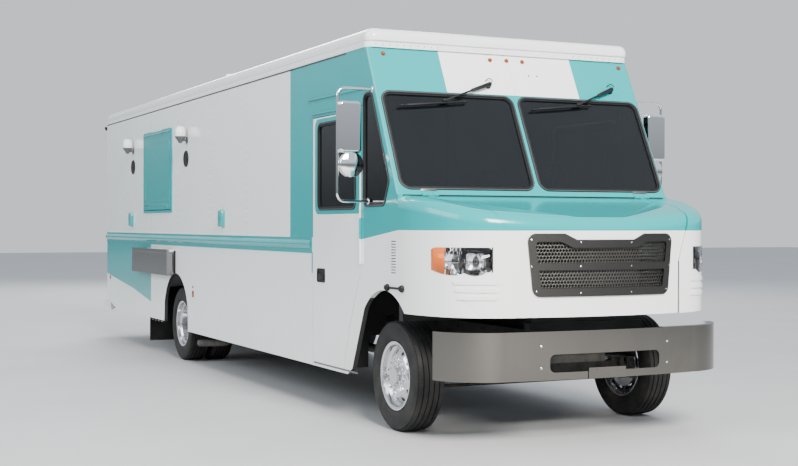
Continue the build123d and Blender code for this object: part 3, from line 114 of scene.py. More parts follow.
SIDE = side_plane(-HALF_WIDTH)
REAR = rear_plane(at(0, BODY_REAR, 0))
SCREEN_UP = Vector((0, sin(SCREEN_SLOPE), cos(SCREEN_SLOPE)))
SCREEN_OUT = Vector((0, -cos(SCREEN_SLOPE), sin(SCREEN_SLOPE)))
SCREEN = screen_plane(at(0, *SCREEN_FOOT))


def up_screen(z):
    """Distance up the windscreen plane of a height."""
    return (z - SCREEN_FOOT[1]) / cos(SCREEN_SLOPE)


def on_screen(x, z, rise=0.0):
    """Point over the windscreen's plane at an x and a height."""
    return SCREEN @ Vector((x, up_screen(z), rise))


def on_side(station, z):
    """Point on the right side's panels."""
    return at(-HALF_WIDTH, station, z)


def oblong(low, high):
    """Corners of an upright rectangle from its low and high corners, anticlockwise."""
    (left, foot), (right, top) = low, high
    return (left, foot), (right, foot), (right, top), (left, top)


# Windows as the openings' seen corners, anticlockwise on their own plane
WINDSCREEN = oblong((-1.187, up_screen(1.834)), (-0.020, up_screen(2.600)))
QUARTER = ((1.198, 1.712), (1.198, 2.595), (1.034, 2.595), (0.705, 1.905), (0.798, 1.712))
DOOR_WINDOW = oblong((1.345, 1.692), (2.158, 2.422))
REAR_WINDOW = oblong((-0.560, 1.850), (-0.170, 2.450))


def nose_point(x, z, proud=0.0):
    """Point on the nose's wall and its outward direction, at an x of its plan and a height."""
    (cx, cs), radius = NOSE_ARCS[2 if abs(x) < CORNER_FROM else 1 if abs(x) < CORNER_TO else 0]
    reach = abs(x) - cx
    out = Vector((reach, -sqrt(radius ** 2 - reach ** 2), 0)) / radius
    spot = Vector((cx, along(cs), z)) + out * (radius + proud)
    if x < 0:
        spot.x, out.x = -spot.x, -out.x
    return spot, out


# Settings that a user would change


class PaintSettings(bpy.types.PropertyGroup):
    """Body colours and where they meet."""

    white: FloatVectorProperty(name="White", description="Body colour below and behind", subtype="COLOR",
                               default=(0.86, 0.88, 0.86), min=0, max=1)
    teal: FloatVectorProperty(name="Teal", description="Colour of the cab, band and tail", subtype="COLOR",
                              default=(0.002, 0.325, 0.335), min=0, max=1)
    gloss: FloatProperty(name="Roughness", description="Roughness of the paint", default=0.17, min=0, max=1,
                         subtype="FACTOR")
    nose_line: FloatProperty(name="Nose Line", description="Height where teal meets white on the nose",
                             default=1.527, unit="LENGTH")
    dust: FloatProperty(name="Road Dust", description="How much dust lies on the lower body", default=0.10,
                        min=0, max=1, subtype="FACTOR")


class TrimSettings(bpy.types.PropertyGroup):
    """Rivets, window rubbers and seams."""

    rivet_pitch: FloatProperty(name="Rivet Pitch", description="Spacing of the rivets along a row",
                               default=0.076, min=0.03, unit="LENGTH")
    rivet_radius: FloatProperty(name="Rivet Radius", description="Radius of a rivet's head", default=0.0062,
                                min=0.002, unit="LENGTH")
    rubber_width: FloatProperty(name="Rubber Width", description="Width of a window rubber outside its opening",
                                default=0.020, min=0.005, unit="LENGTH")
    hole_radius: FloatProperty(name="Grille Hole", description="Radius of the holes in the grille's sheet",
                               default=0.0096, min=0.003, unit="LENGTH")


class WheelSettings(bpy.types.PropertyGroup):
    """Tyres and wheel nuts."""

    nuts: IntProperty(name="Nuts", description="Wheel nuts on each hub", default=10, min=5, max=12)
    nut_circle: FloatProperty(name="Nut Circle", description="Radius of the ring of nuts", default=0.118,
                              unit="LENGTH")
    groove: FloatProperty(name="Groove Depth", description="Depth of the tyres' grooves", default=0.011,
                          unit="LENGTH")


class StageSettings(bpy.types.PropertyGroup):
    """Floor and light."""

    floor: FloatVectorProperty(name="Floor", description="Colour of the floor", subtype="COLOR",
                               default=(0.50, 0.50, 0.495), min=0, max=1)
    key: FloatProperty(name="Key Light", description="Power of the large light ahead of the truck",
                       default=7600.0, unit="POWER")
    sky: FloatProperty(name="Sky", description="Strength of the soft light all round", default=1.0, min=0)


# Node trees


class Tree:
    """Short calls for filling one node tree."""

    def __init__(self, tree):
        """Take an empty or used tree and clear it."""
        self.tree = tree
        self.nodes = tree.nodes
        self.nodes.clear()

    def add(self, kind, inputs=None, **settings):
        """A new node with its settings and input values."""
        node = self.nodes.new(kind)
        for key, value in settings.items():
            setattr(node, key, value)
        for key, value in (inputs or {}).items():
            self.set(node.inputs[key], value)
        return node

    def set(self, socket, value):
        """Link a socket, or give it its own value."""
        if isinstance(value, bpy.types.NodeSocket):
            self.tree.links.new(value, socket)
        else:
            socket.default_value = value

    def calc(self, operation, *values):
        """Result of a maths node."""
        node = self.add("ShaderNodeMath", operation=operation)
        for socket, value in zip(node.inputs, values):
            self.set(socket, value)
        return node.outputs[0]

    def vector(self, operation, *values):
        """Result of a vector maths node."""
        node = self.add("ShaderNodeVectorMath", operation=operation)
        for socket, value in zip(node.inputs, values):
            self.set(socket, value)
        return node.outputs["Value" if operation in ("DOT_PRODUCT", "LENGTH") else "Vector"]

    def mix(self, factor, a, b):
        """Colour between two colours."""
        node = self.add("ShaderNodeMix", data_type="RGBA")
        self.set(node.inputs["Factor"], factor)
        self.set(node.inputs["A"], a)
        self.set(node.inputs["B"], b)
        return node.outputs["Result"]

    def ramp(self, value, low, high, to_low=0.0, to_high=1.0):
        """Value carried from one range to another."""
        node = self.add("ShaderNodeMapRange")
        for socket, item in zip(node.inputs, (value, low, high, to_low, to_high)):
            self.set(socket, item)
        return node.outputs["Result"]

    def noise(self, vector, scale, detail, roughness=0.5):
        """Clouds of values about a half."""
        node = self.add("ShaderNodeTexNoise", {"Vector": vector, "Scale": scale, "Detail": detail,
                                               "Roughness": roughness})
        return node.outputs["Fac"]

    def axes(self, vector):
        """The three parts of a vector."""
        return self.add("ShaderNodeSeparateXYZ", {"Vector": vector}).outputs

    def shade(self, colour, factor):
        """A fixed colour made lighter or darker by a value."""
        node = self.add("ShaderNodeVectorMath", {0: tuple(colour)[:3], "Scale": factor}, operation="SCALE")
        return node.outputs["Vector"]

    def group(self, name, **inputs):
        """One of the shared effects as a node."""
        node = self.nodes.new("ShaderNodeGroup")
        node.node_tree = bpy.data.node_groups[name]
        for key, value in inputs.items():
            self.set(node.inputs[key], value)
        return node

    def mask(self, name, **inputs):
        """Mask of one of the shared effects."""
        return self.group(name, **inputs).outputs["Mask"]


def new_group(name, inputs, outputs):
    """An empty shader node group with named sockets; returns its tree, inputs and outputs."""
    tree = bpy.data.node_groups.new(name, "ShaderNodeTree")
    for key, (kind, default) in inputs.items():
        socket = tree.interface.new_socket(key, in_out="INPUT", socket_type=kind)
        socket.default_value = default
    for key, kind in outputs.items():
        tree.interface.new_socket(key, in_out="OUTPUT", socket_type=kind)
    build = Tree(tree)
    return build, build.add("NodeGroupInput").outputs, build.add("NodeGroupOutput").inputs


def build_groups():
    """Effects that several materials share."""
    vector, value = "NodeSocketVector", "NodeSocketFloat"
    place = (vector, (0, 0, 0))

    t, given, out = new_group("Zone", {"Vector": place, "Low": (vector, (-9, -9, -9)),
                                       "High": (vector, (9, 9, 9))}, {"Mask": value})
    inner = t.vector("MINIMUM", t.vector("SUBTRACT", given["Vector"], given["Low"]),
                     t.vector("SUBTRACT", given["High"], given["Vector"]))
    x, y, z = t.axes(inner)
    t.set(out["Mask"], t.calc("GREATER_THAN", t.calc("MINIMUM", x, t.calc("MINIMUM", y, z)), 0))

    t, given, out = new_group("Round Zone", {"Vector": place, "Middle": place, "Half": (vector, (9, 1, 1)),
                                             "Radius": (value, 0.1)}, {"Mask": value})
    away = t.vector("ABSOLUTE", t.vector("SUBTRACT", given["Vector"], given["Middle"]))
    beyond = t.vector("SUBTRACT", away, given["Half"])
    x, y, z = t.axes(beyond)
    corner = t.add("ShaderNodeCombineXYZ", {"Y": t.calc("MAXIMUM", t.calc("ADD", y, given["Radius"]), 0),
                                            "Z": t.calc("MAXIMUM", t.calc("ADD", z, given["Radius"]), 0)})
    distance = t.vector("LENGTH", corner.outputs["Vector"])
    t.set(out["Mask"], t.calc("LESS_THAN", distance, given["Radius"]))

    t, given, out = new_group("Beyond Line", {"Vector": place, "Normal": (vector, (0, 0, 1)),
                                              "Offset": (value, 0)}, {"Mask": value})
    t.set(out["Mask"], t.calc("GREATER_THAN", t.vector("DOT_PRODUCT", given["Vector"], given["Normal"]),
                              given["Offset"]))

    t, given, out = new_group("Panel Lines", {"Vector": place, "Start": (value, 0), "Spacing": (value, 1.2),
                                              "Width": (value, 0.004)}, {"Mask": value})
    y = t.axes(given["Vector"])["Y"]
    steps = t.calc("DIVIDE", t.calc("SUBTRACT", y, given["Start"]), given["Spacing"])
    near = t.calc("ABSOLUTE", t.calc("SUBTRACT", t.calc("FRACT", steps), 0.5))
    t.set(out["Mask"], t.calc("LESS_THAN", t.calc("MULTIPLY", near, given["Spacing"]), given["Width"]))

    t, given, out = new_group("Within Arc", {"Vector": place, "Middle": place, "Radius": (value, 1.0)},
                              {"Mask": value})
    away = t.vector("SUBTRACT", t.vector("ABSOLUTE", t.vector("MULTIPLY", given["Vector"], (1, 0, 0))),
                    given["Middle"])
    level = t.vector("MULTIPLY", t.vector("ADD", away, t.vector("MULTIPLY", given["Vector"], (0, 1, 0))),
                     (1, 1, 0))
    t.set(out["Mask"], t.calc("LESS_THAN", t.vector("LENGTH", level), given["Radius"]))

    t, given, out = new_group("Road Dust", {"Vector": place, "Top": (value, 1.0), "Amount": (value, 0.4)},
                              {"Mask": value})
    fade = t.ramp(t.axes(given["Vector"])["Z"], given["Top"], 0.25, 0.0, 1.0)
    patch = t.ramp(t.noise(given["Vector"], 7.0, 6.0, 0.62), 0.35, 0.75)
    t.set(out["Mask"], t.calc("MULTIPLY", t.calc("MULTIPLY", fade, patch), given["Amount"]))

    t, given, out = new_group("Sheet Waves", {"Vector": place, "Depth": (value, 0.5)}, {"Height": value})
    broad = t.noise(t.vector("MULTIPLY", given["Vector"], (1.0, 0.9, 1.6)), 1.7, 1.0, 0.4)
    fine = t.noise(given["Vector"], 140.0, 1.0, 0.5)
    t.set(out["Height"], t.calc("MULTIPLY", given["Depth"],
                                t.calc("ADD", broad, t.calc("MULTIPLY", fine, 0.004))))

    t, given, out = new_group("Brushed", {"Vector": place, "Direction": (vector, (1, 60, 60)),
                                          "Base": (value, 0.3), "Spread": (value, 0.15)},
                              {"Roughness": value, "Height": value})
    lines = t.noise(t.vector("MULTIPLY", given["Vector"], given["Direction"]), 8.0, 4.0, 0.6)
    t.set(out["Roughness"], t.calc("ADD", given["Base"], t.calc("MULTIPLY", t.calc("SUBTRACT", lines, 0.5),
                                                               given["Spread"])))
    t.set(out["Height"], lines)

    t, given, out = new_group("Grain", {"Vector": place, "Scale": (value, 600.0)},
                              {"Height": value, "Tone": value})
    cells = t.add("ShaderNodeTexVoronoi", {"Vector": given["Vector"], "Scale": given["Scale"]})
    t.set(out["Height"], cells.outputs["Distance"])
    t.set(out["Tone"], t.ramp(t.noise(given["Vector"], 5.0, 5.0, 0.6), 0.3, 0.7, 0.82, 1.15))

    t, given, out = new_group("Weave", {"Vector": place, "Scale": (value, 500.0)}, {"Height": value})
    x, y, z = t.axes(t.vector("MULTIPLY", given["Vector"], (2 * pi, 2 * pi, 2 * pi)))
    threads = [t.calc("SINE", t.calc("MULTIPLY", axis, given["Scale"])) for axis in (x, y, z)]
    t.set(out["Height"], t.calc("ADD", t.calc("MULTIPLY", threads[0], threads[1]), threads[2]))


def new_material(name):
    """A material with its tree, Object coordinates and Principled shader."""
    material = bpy.data.materials.new(name)
    material.use_nodes = True
    t = Tree(material.node_tree)
    place = t.add("ShaderNodeTexCoord").outputs["Object"]
    shader = t.add("ShaderNodeBsdfPrincipled")
    out = t.add("ShaderNodeOutputMaterial")
    t.tree.links.new(shader.outputs["BSDF"], out.inputs["Surface"])
    return material, t, place, shader


def bump(t, shader, height, strength, distance):
    """Feed a height into the shader's normal."""
    node = t.add("ShaderNodeBump", {"Height": height, "Strength": strength, "Distance": distance})
    t.set(shader.inputs["Normal"], node.outputs["Normal"])


def rgba(colour):
    """A colour with full alpha."""
    return (*colour[:3], 1.0)


def any_of(t, masks):
    """Where any of the masks is set."""
    total = masks[0]
    for mask in masks[1:]:
        total = t.calc("MAXIMUM", total, mask)
    return total


def zone(t, place, low, high):
    """Mask of a box between two corners given as (x, station, z)."""
    return t.mask("Zone", Vector=place, Low=at(*low), High=at(*high))


def over(t, place, normal, point):
    """Mask of the side of a plane that its normal points to."""
    normal, offset = Vector(normal), Vector(normal).dot(at(*point))
    return t.mask("Beyond Line", Vector=place, Normal=normal, Offset=offset)


def teal_of_body(t, place):
    """Where the body and nose are teal: upper nose, cab, hatch frame and the tail's lower patch."""
    line = bpy.context.scene.truck_paint.nose_line
    far = 3.0
    header = zone(t, place, (-0.60, 0.5, 2.612), (0.632, 1.3, 3.0))
    teal = any_of(t, [
        zone(t, place, (-far, -1, line), (far, 0.548, 1.83)),
        t.calc("MULTIPLY", zone(t, place, (-far, 0.548, 1.40), (far, 1.228, 3.0)),
               over(t, place, (0, 0.112, 1), (0, 0.555, line))),
        zone(t, place, (-far, 1.228, 1.456), (far, 2.826, 2.958)),
        zone(t, place, (-far, 2.273, 1.15), (far, 2.300, 1.33)),
        t.calc("MULTIPLY", zone(t, place, (-far, 7.715, 0.3), (far, 8.6, 1.4)),
               over(t, place, (0, -0.140, 1), (0, 7.724, 0.612))),
        t.calc("MULTIPLY", zone(t, place, (-far, 8.6, 0.3), (far, 10.2, 1.4)),
               over(t, place, (0, -0.098, 1), (0, 8.6, 0.735))),
        zone(t, place, (-far, 6.70, 1.68), (-HALF_WIDTH - 0.0005, 8.08, 2.74)),
    ])
    return t.calc("MULTIPLY", teal, t.calc("SUBTRACT", 1.0, header))


def teal_of_door(t, place):
    """Where a cab door is teal: the surround of its window."""
    return t.mask("Round Zone", Vector=place, Middle=at(0, 1.7275, 2.058), Half=Vector((9, 0.4975, 0.404)),
                  Radius=0.075)


def shaded_inside_nose(t, place, setback):
    """Inner side of the nose moulding below its lamps, from its three arcs; body paint turns it near-black there,
    as painted shade and underseal inside the wheel arches.
    """
    wall = setback + 0.0095
    side, corner, front = (t.mask("Within Arc", Vector=place, Middle=(cx, along(cs), 0), Radius=radius - wall)
                           for (cx, cs), radius in NOSE_ARCS)
    x, y, z = t.axes(place)
    at_corner = t.calc("MULTIPLY", t.calc("GREATER_THAN", t.calc("ABSOLUTE", x), CORNER_FROM),
                       t.calc("LESS_THAN", y, along(0.030)))
    both = t.calc("MULTIPLY", side, front)
    within = t.add("ShaderNodeMix", {"Factor": at_corner, "A": both, "B": corner}, data_type="FLOAT")
    return t.calc("MULTIPLY", within.outputs["Result"], t.calc("LESS_THAN", z, 1.30))


def shaded_inside_walls(t, place):
    """Inner side of the side panels below the floor; body paint turns it near-black there, as painted shade and
    underseal under the truck.
    """
    x, _, z = t.axes(place)
    return t.calc("MULTIPLY", t.calc("LESS_THAN", t.calc("ABSOLUTE", x), HALF_WIDTH - 0.0025),
                  t.calc("LESS_THAN", z, 1.0))


PAINT_DUST = (0.36, 0.33, 0.28, 1)
METAL_DUST = (0.16, 0.14, 0.12, 1)
RUBBER_DUST = (0.30, 0.27, 0.23, 1)


def body_paint(name, teal_mask=teal_of_body, inside=None, lines=False):
    """White and teal gloss paint, divided by where each panel lies; a mask of inner faces turns them near-black,
    as painted shade and underseal.
    """
    paint = bpy.context.scene.truck_paint
    material, t, place, shader = new_material(name)
    tone = t.mix(teal_mask(t, place), rgba(paint.white), rgba(paint.teal))
    dust = t.mask("Road Dust", Vector=place, Top=1.3, Amount=paint.dust)
    tone = t.mix(dust, tone, PAINT_DUST)
    rough = t.calc("ADD", paint.gloss, t.calc("MULTIPLY", dust, 0.6))
    waves = t.group("Sheet Waves", Vector=place, Depth=1.0).outputs["Height"]
    coat = 0.2
    if lines:
        upper = zone(t, place, (-3, 2.9, 1.46), (3, 10.05, 2.95))
        seam = t.mask("Panel Lines", Vector=place, Start=along(2.826 - PANEL / 2), Spacing=PANEL, Width=0.0028)
        seam = t.calc("MULTIPLY", seam, upper)
        tone = t.mix(t.calc("MULTIPLY", seam, 0.45), tone, (0.10, 0.11, 0.11, 1))
        waves = t.calc("SUBTRACT", waves, t.calc("MULTIPLY", seam, 0.05))
    if inside:
        # Inner faces go near-black: painted shade of the wheel arches and underbody, together with underseal
        underseal_and_shade = inside(t, place)
        tone = t.mix(underseal_and_shade, tone, (0.020, 0.020, 0.021, 1))
        rough = t.calc("ADD", rough, t.calc("MULTIPLY", underseal_and_shade, 0.55))
        coat = t.calc("MULTIPLY", t.calc("SUBTRACT", 1.0, underseal_and_shade), coat)
    t.set(shader.inputs["Base Color"], tone)
    t.set(shader.inputs["Roughness"], rough)
    t.set(shader.inputs["Coat Weight"], coat)
    shader.inputs["Coat Roughness"].default_value = 0.04
    bump(t, shader, waves, 0.35, 0.012)
    return material


def plain_paint(name, colour, roughness=0.2, dust=0.1):
    """Gloss paint of one colour, hardly varied."""
    material, t, place, shader = new_material(name)
    mask = t.mask("Road Dust", Vector=place, Top=1.3, Amount=dust)
    tone = t.shade(colour, t.ramp(t.noise(place, 9.0, 4.0), 0.3, 0.7, 0.96, 1.0))
    t.set(shader.inputs["Base Color"], t.mix(mask, tone, PAINT_DUST))
    t.set(shader.inputs["Roughness"], t.calc("ADD", roughness, t.calc("MULTIPLY", mask, 0.6)))
    shader.inputs["Coat Weight"].default_value = 0.3
    shader.inputs["Coat Roughness"].default_value = 0.05
    bump(t, shader, t.noise(place, 220.0, 2.0), 0.05, 0.001)
    return material


def metal(name, colour, roughness, lines, spread, depth, dust=0.0):
    """Brushed or polished metal; lines is how fast its pattern runs along each axis."""
    material, t, place, shader = new_material(name)
    brushed = t.group("Brushed", Vector=place, Direction=lines, Base=roughness, Spread=spread)
    rough = brushed.outputs["Roughness"]
    if dust:
        mask = t.mask("Road Dust", Vector=place, Top=1.1, Amount=dust)
        t.set(shader.inputs["Base Color"], t.mix(mask, rgba(colour), METAL_DUST))
        t.set(shader.inputs["Metallic"], t.calc("SUBTRACT", 1.0, t.calc("MULTIPLY", mask, 0.8)))
        rough = t.calc("ADD", rough, t.calc("MULTIPLY", mask, 0.4))
    else:
        shader.inputs["Base Color"].default_value = rgba(colour)
        shader.inputs["Metallic"].default_value = 1.0
    t.set(shader.inputs["Roughness"], rough)
    bump(t, shader, brushed.outputs["Height"], depth, 0.0005)
    return material


def dull(name, colour, roughness, scale, depth, dust=0.0):
    """Plastic, rubber, casting or dark chassis paint with a fine grain."""
    material, t, place, shader = new_material(name)
    grain = t.group("Grain", Vector=place, Scale=scale)
    mask = t.mask("Road Dust", Vector=place, Top=1.2, Amount=dust)
    tone = t.shade(colour, grain.outputs["Tone"])
    t.set(shader.inputs["Base Color"], t.mix(mask, tone, RUBBER_DUST))
    t.set(shader.inputs["Roughness"], t.calc("ADD", roughness, t.calc("MULTIPLY", mask, 0.25)))
    shader.inputs["Specular IOR Level"].default_value = 0.25
    bump(t, shader, grain.outputs["Height"], depth, 0.0006)
    return material


def tinted_glass(name, colour, roughness=0.0, through=0.92):
    """Window glass or a lamp's lens."""
    material, t, place, shader = new_material(name)
    smear = t.ramp(t.noise(place, 3.0, 4.0), 0.3, 0.8, 0.9, 1.1)
    t.set(shader.inputs["Base Color"], t.shade(colour, smear))
    shader.inputs["Roughness"].default_value = roughness
    shader.inputs["Transmission Weight"].default_value = through
    shader.inputs["IOR"].default_value = 1.45
    return material


def cloth(name, colour):
    """Woven cloth."""
    material, t, place, shader = new_material(name)
    weave = t.group("Weave", Vector=place, Scale=260.0).outputs["Height"]
    tone = t.ramp(t.noise(place, 14.0, 4.0), 0.3, 0.7, 0.8, 1.2)
    tone = t.calc("MULTIPLY", tone, t.ramp(weave, -2.0, 2.0, 0.75, 1.25))
    t.set(shader.inputs["Base Color"], t.shade(colour, tone))
    shader.inputs["Roughness"].default_value = 0.85
    shader.inputs["Sheen Weight"].default_value = 0.3
    bump(t, shader, weave, 0.25, 0.0006)
    return material


def make_materials():
    """Every finish by name."""
    build_groups()
    paint = bpy.context.scene.truck_paint
    made = {
        "body": body_paint("Body Paint"),
        "sides": body_paint("Side Paint", inside=shaded_inside_walls, lines=True),
        "fender": body_paint("Fender Paint", inside=lambda t, place: shaded_inside_nose(t, place, 0.0)),
        "hood": body_paint("Hood Paint", inside=lambda t, place: shaded_inside_nose(t, place, 0.014)),
        "door": body_paint("Door Paint", teal_mask=teal_of_door),
        "rivets": body_paint("Rivet Paint"),
        "white": plain_paint("White Paint", paint.white),
        "teal": plain_paint("Teal Paint", paint.teal),
        "inner": plain_paint("Inner Panel", (0.50, 0.51, 0.50), 0.4, 0.0),
        "globe": plain_paint("White Globe", (0.86, 0.86, 0.84), 0.25, 0.0),
        "cloth": cloth("Woven Cloth", (0.035, 0.035, 0.040)),
    }
    # Colour, roughness, grain size, grain depth and dust
    for key, name, *values in (
            ("chassis", "Chassis Paint", (0.012, 0.012, 0.013), 0.50, 300, 0.20, 0.22),
            ("cast", "Rough Casting", (0.030, 0.029, 0.028), 0.70, 180, 0.60, 0.30),
            ("core", "Radiator Core", (0.020, 0.021, 0.022), 0.55, 400, 0.40, 0.10),
            ("tyre", "Tyre Rubber", (0.014, 0.014, 0.0145), 0.66, 420, 0.35, 0.10),
            ("rubber", "Black Rubber", (0.010, 0.010, 0.011), 0.45, 500, 0.15, 0.05),
            ("seal", "Seal Line", (0.085, 0.090, 0.090), 0.40, 500, 0.10),
            ("black", "Black Plastic", (0.010, 0.010, 0.011), 0.48, 700, 0.15, 0.05),
            ("grey", "Grey Plastic", (0.10, 0.105, 0.105), 0.55, 700, 0.35),
            ("strip", "Grey Strip", (0.055, 0.058, 0.060), 0.50, 500, 0.20)):
        made[key] = dull(name, *values)
    # Colour, roughness, run of the brushing along x, y and z, its spread and depth, and dust
    for key, name, *values in (
            ("sheet", "Mill Sheet", (0.62, 0.63, 0.64), 0.34, (60, 1, 60), 0.20, 0.08, 0.25),
            ("polished", "Polished Aluminium", (0.72, 0.72, 0.74), 0.12, (40, 40, 2), 0.08, 0.03, 0.25),
            ("stainless", "Brushed Stainless", (0.24, 0.24, 0.235), 0.30, (40, 1, 60), 0.18, 0.10),
            # Bright steel's base colour is darkened and browned: a painted reflection of the dark ground round the
            # bumper
            ("chrome", "Bright Steel", (0.15, 0.142, 0.130), 0.09, (1, 20, 40), 0.05, 0.02, 0.25),
            ("mirror", "Bright Chrome", (0.88, 0.88, 0.88), 0.03, (9, 9, 9), 0.02, 0.0),
            ("gunmetal", "Grille Metal", (0.072, 0.070, 0.066), 0.40, (1, 40, 60), 0.15, 0.08),
            ("perforated", "Perforated Sheet", (0.085, 0.082, 0.076), 0.34, (1, 40, 60), 0.20, 0.08)):
        made[key] = metal(name, *values)
    # Colour, roughness and how much light goes through
    for key, name, *values in (
            ("glass", "Window Glass", (0.055, 0.068, 0.075)),
            ("clear", "Clear Lens", (0.97, 0.98, 0.98), 0.0, 1.0),
            ("amber", "Amber Lens", (0.95, 0.20, 0.015), 0.08, 0.35),
            ("dark_amber", "Dark Amber Lens", (0.30, 0.06, 0.01), 0.12, 0.2),
            ("red", "Red Lens", (0.60, 0.012, 0.012), 0.06, 0.45)):
        made[key] = tinted_glass(name, *values)
    return made


FINISH = {}
SLOT_FINISH = {                 # finish of a frame node by its material slot
    "teal_paint": "body", "white_paint": "body", "inner_panel": "inner", "frame_paint": "chassis",
    "cast_parts": "cast", "sheet_aluminium": "sheet", "polished_aluminium": "polished",
    "stainless": "stainless", "bright_steel": "chrome", "tyre_rubber": "tyre", "black_rubber": "rubber",
    "black_plastic": "black", "grey_plastic": "grey", "lamp_lens": "clear", "red_lens": "red",
    "glass": "glass", "seat_cloth": "cloth", "gunmetal": "gunmetal",
}
OWN_FINISH = {                  # frame nodes with a finish of their own
    "rub_rails": "teal", "serving_hatch": "teal", "roof": "white", "rear_bumper": "white",
    "grille": "gunmetal", "grille_sheet": "gunmetal", "radiator": "core", "mirrors": "mirror",
    "fenders": "fender", "hood": "hood", "cab_door_right": "door", "cab_door_left": "door",
    "cab_side_right": "sides", "cab_side_left": "sides", "side_wall_right": "sides",
    "side_wall_left": "sides", "exhaust": "cast", "engine": "cast", "cab_floor": "black",
    # The firewall takes the near-black chassis paint as painted shade, for where it shows inside the front wheel
    # arches
    "firewall": "chassis",
}


class TRUCK_OT_finishes(bpy.types.Operator):
    """Make every finish and give each frame node its own"""

    bl_idname = "truck.finishes"
    bl_label = "Finishes"

    def execute(self, context):
        FINISH.update(make_materials())
        for part in frame["record"]["subparts"]:
            name = part["node"]
            finish = FINISH[OWN_FINISH.get(name, SLOT_FINISH[part["material_slot"]])]
            for slot in frame["nodes"][name].material_slots:
                slot.material = finish
        return {"FINISHED"}


# Modelling


def facing(point, direction):
    """Placement at a point, its Z along a direction."""
    return Matrix.Translation(point) @ Vector(direction).to_track_quat("Z", "Y").to_matrix().to_4x4()


def scaled(place, size):
    """A placement with a uniform size."""
    return place @ Matrix.Scale(size, 4)


def new_verts(made):
    """The vertices among what an operator made."""
    return [item for item in made if isinstance(item, bmesh.types.BMVert)]


def round_edges(bm, edges, offset):
    """Round some edges in two steps."""
    bmesh.ops.bevel(bm, geom=edges, affect="EDGES", offset=offset, offset_type="OFFSET", segments=2,
                    profile=0.5, material=-1)


def soften(bm, verts, offset):
    """Round the sharp edges at some vertices."""
    round_edges(bm, list({e for v in verts for e in v.link_edges if e.calc_face_angle(0) > 0.5}), offset)


def block(bm, low, high, edge=0.0, place=None):
    """Box between two corners given as (x, station, z), or in the axes of a placement."""
    a, b = (at(*low), at(*high)) if place is None else (Vector(low), Vector(high))
    size = [abs(far - near) for near, far in zip(a, b)]
    turn = (place or Matrix()) @ Matrix.Translation((a + b) / 2) @ Matrix.Diagonal((*size, 1))
    verts = bmesh.ops.create_cube(bm, size=1.0, matrix=turn)["verts"]
    if edge:
        soften(bm, verts, edge)


def bar(bm, start, end, width, depth, edge=0.0, end_width=None):
    """Straight bar between two points over the windscreen; it may taper."""
    run = end - start
    side = run.cross(SCREEN_OUT).normalized()
    turn = plane((start + end) / 2, run.normalized(), side, SCREEN_OUT)
    size = Matrix.Diagonal((run.length, width, depth, 1))
    verts = bmesh.ops.create_cube(bm, size=1.0, matrix=turn @ size)["verts"]
    if end_width is not None:
        for v in verts:
            if (v.co - end).dot(run) > -run.length_squared / 2:
                v.co -= side * (v.co - end).dot(side) * (1 - end_width / width)
    if edge:
        soften(bm, verts, edge)


def rod(bm, start, end, radius):
    """Round bar between two points."""
    run = end - start
    bmesh.ops.create_cone(bm, cap_ends=True, segments=16, radius1=radius, radius2=radius, depth=run.length,
                          matrix=facing((start + end) / 2, run))


def lathe(bm, section, centre, axis, steps, closed=False):
    """Turned shape from a section of (distance along the axis, radius), its open ends closed at the
    axis; returns its faces."""
    place = facing(centre, axis)
    if not closed:
        foot, head = ([(end[0], 0.0)] if end[1] else [] for end in (section[0], section[-1]))
        section = foot + section + head
    verts = [bm.verts.new(place @ Vector((radius, 0, distance))) for distance, radius in section]
    pairs = zip(verts, verts[1:] + verts[:1]) if closed else zip(verts, verts[1:])
    edges = [bm.edges.new(pair) for pair in pairs]
    before = set(bm.faces)
    bmesh.ops.spin(bm, geom=verts + edges, cent=centre, axis=axis, angle=2 * pi, steps=steps, use_merge=True)
    return [face for face in bm.faces if face not in before]


def outline(points, radius, grow=0.0):
    """Anticlockwise plane corners moved out by grow and rounded."""
    steps = 6
    made = []
    for i, here in enumerate(points):
        here, before, after = Vector(here), Vector(points[i - 1]), Vector(points[(i + 1) % len(points)])
        inward, onward = (here - before).normalized(), (after - here).normalized()
        out, out_after = Vector((inward.y, -inward.x)), Vector((onward.y, -onward.x))
        corner = here + (out + out_after) * (grow / (1 + out.dot(out_after)))
        bend = max(radius + grow, 0.0005)
        turn = inward.angle(onward)
        start = corner - inward * bend * tan(turn / 2)
        for step in range(steps + 1):
            made.append(start - out * bend + Matrix.Rotation(turn * step / steps, 2) @ (out * bend))
    return made


def flat_face(bm, points, place, base):
    """One face at a height over a plane."""
    face = bm.faces.new([bm.verts.new(place @ Vector((*point, base))) for point in points])
    face.normal_update()
    return face


def raise_faces(bm, faces, place, rise, edge):
    """Lift a copy of flat faces off their plane, wall it in and round its top."""
    top = new_verts(bmesh.ops.extrude_face_region(bm, geom=faces, use_keep_orig=True)["geom"])
    out = (place.to_3x3() @ UP).normalized()
    bmesh.ops.translate(bm, vec=out * rise, verts=top)
    if edge:
        level = set(top)
        round_edges(bm, [e for e in {e for v in top for e in v.link_edges}
                         if level.issuperset(e.verts) and e.calc_face_angle(0) > 0.8], edge)


def plate(bm, points, place, base, rise, edge):
    """Flat plate with a closed outline on a plane."""
    raise_faces(bm, [flat_face(bm, points, place, base)], place, rise, edge)


def rim(bm, points, place, width, base, rise, edge=0.0):
    """Raised strip just inside a closed outline on a plane."""
    face = flat_face(bm, points, place, base)
    ring = bmesh.ops.inset_region(bm, faces=[face], thickness=width, use_boundary=True,
                                  use_even_offset=True)["faces"]
    bmesh.ops.delete(bm, geom=[face], context="FACES_ONLY")
    raise_faces(bm, ring, place, rise, edge)


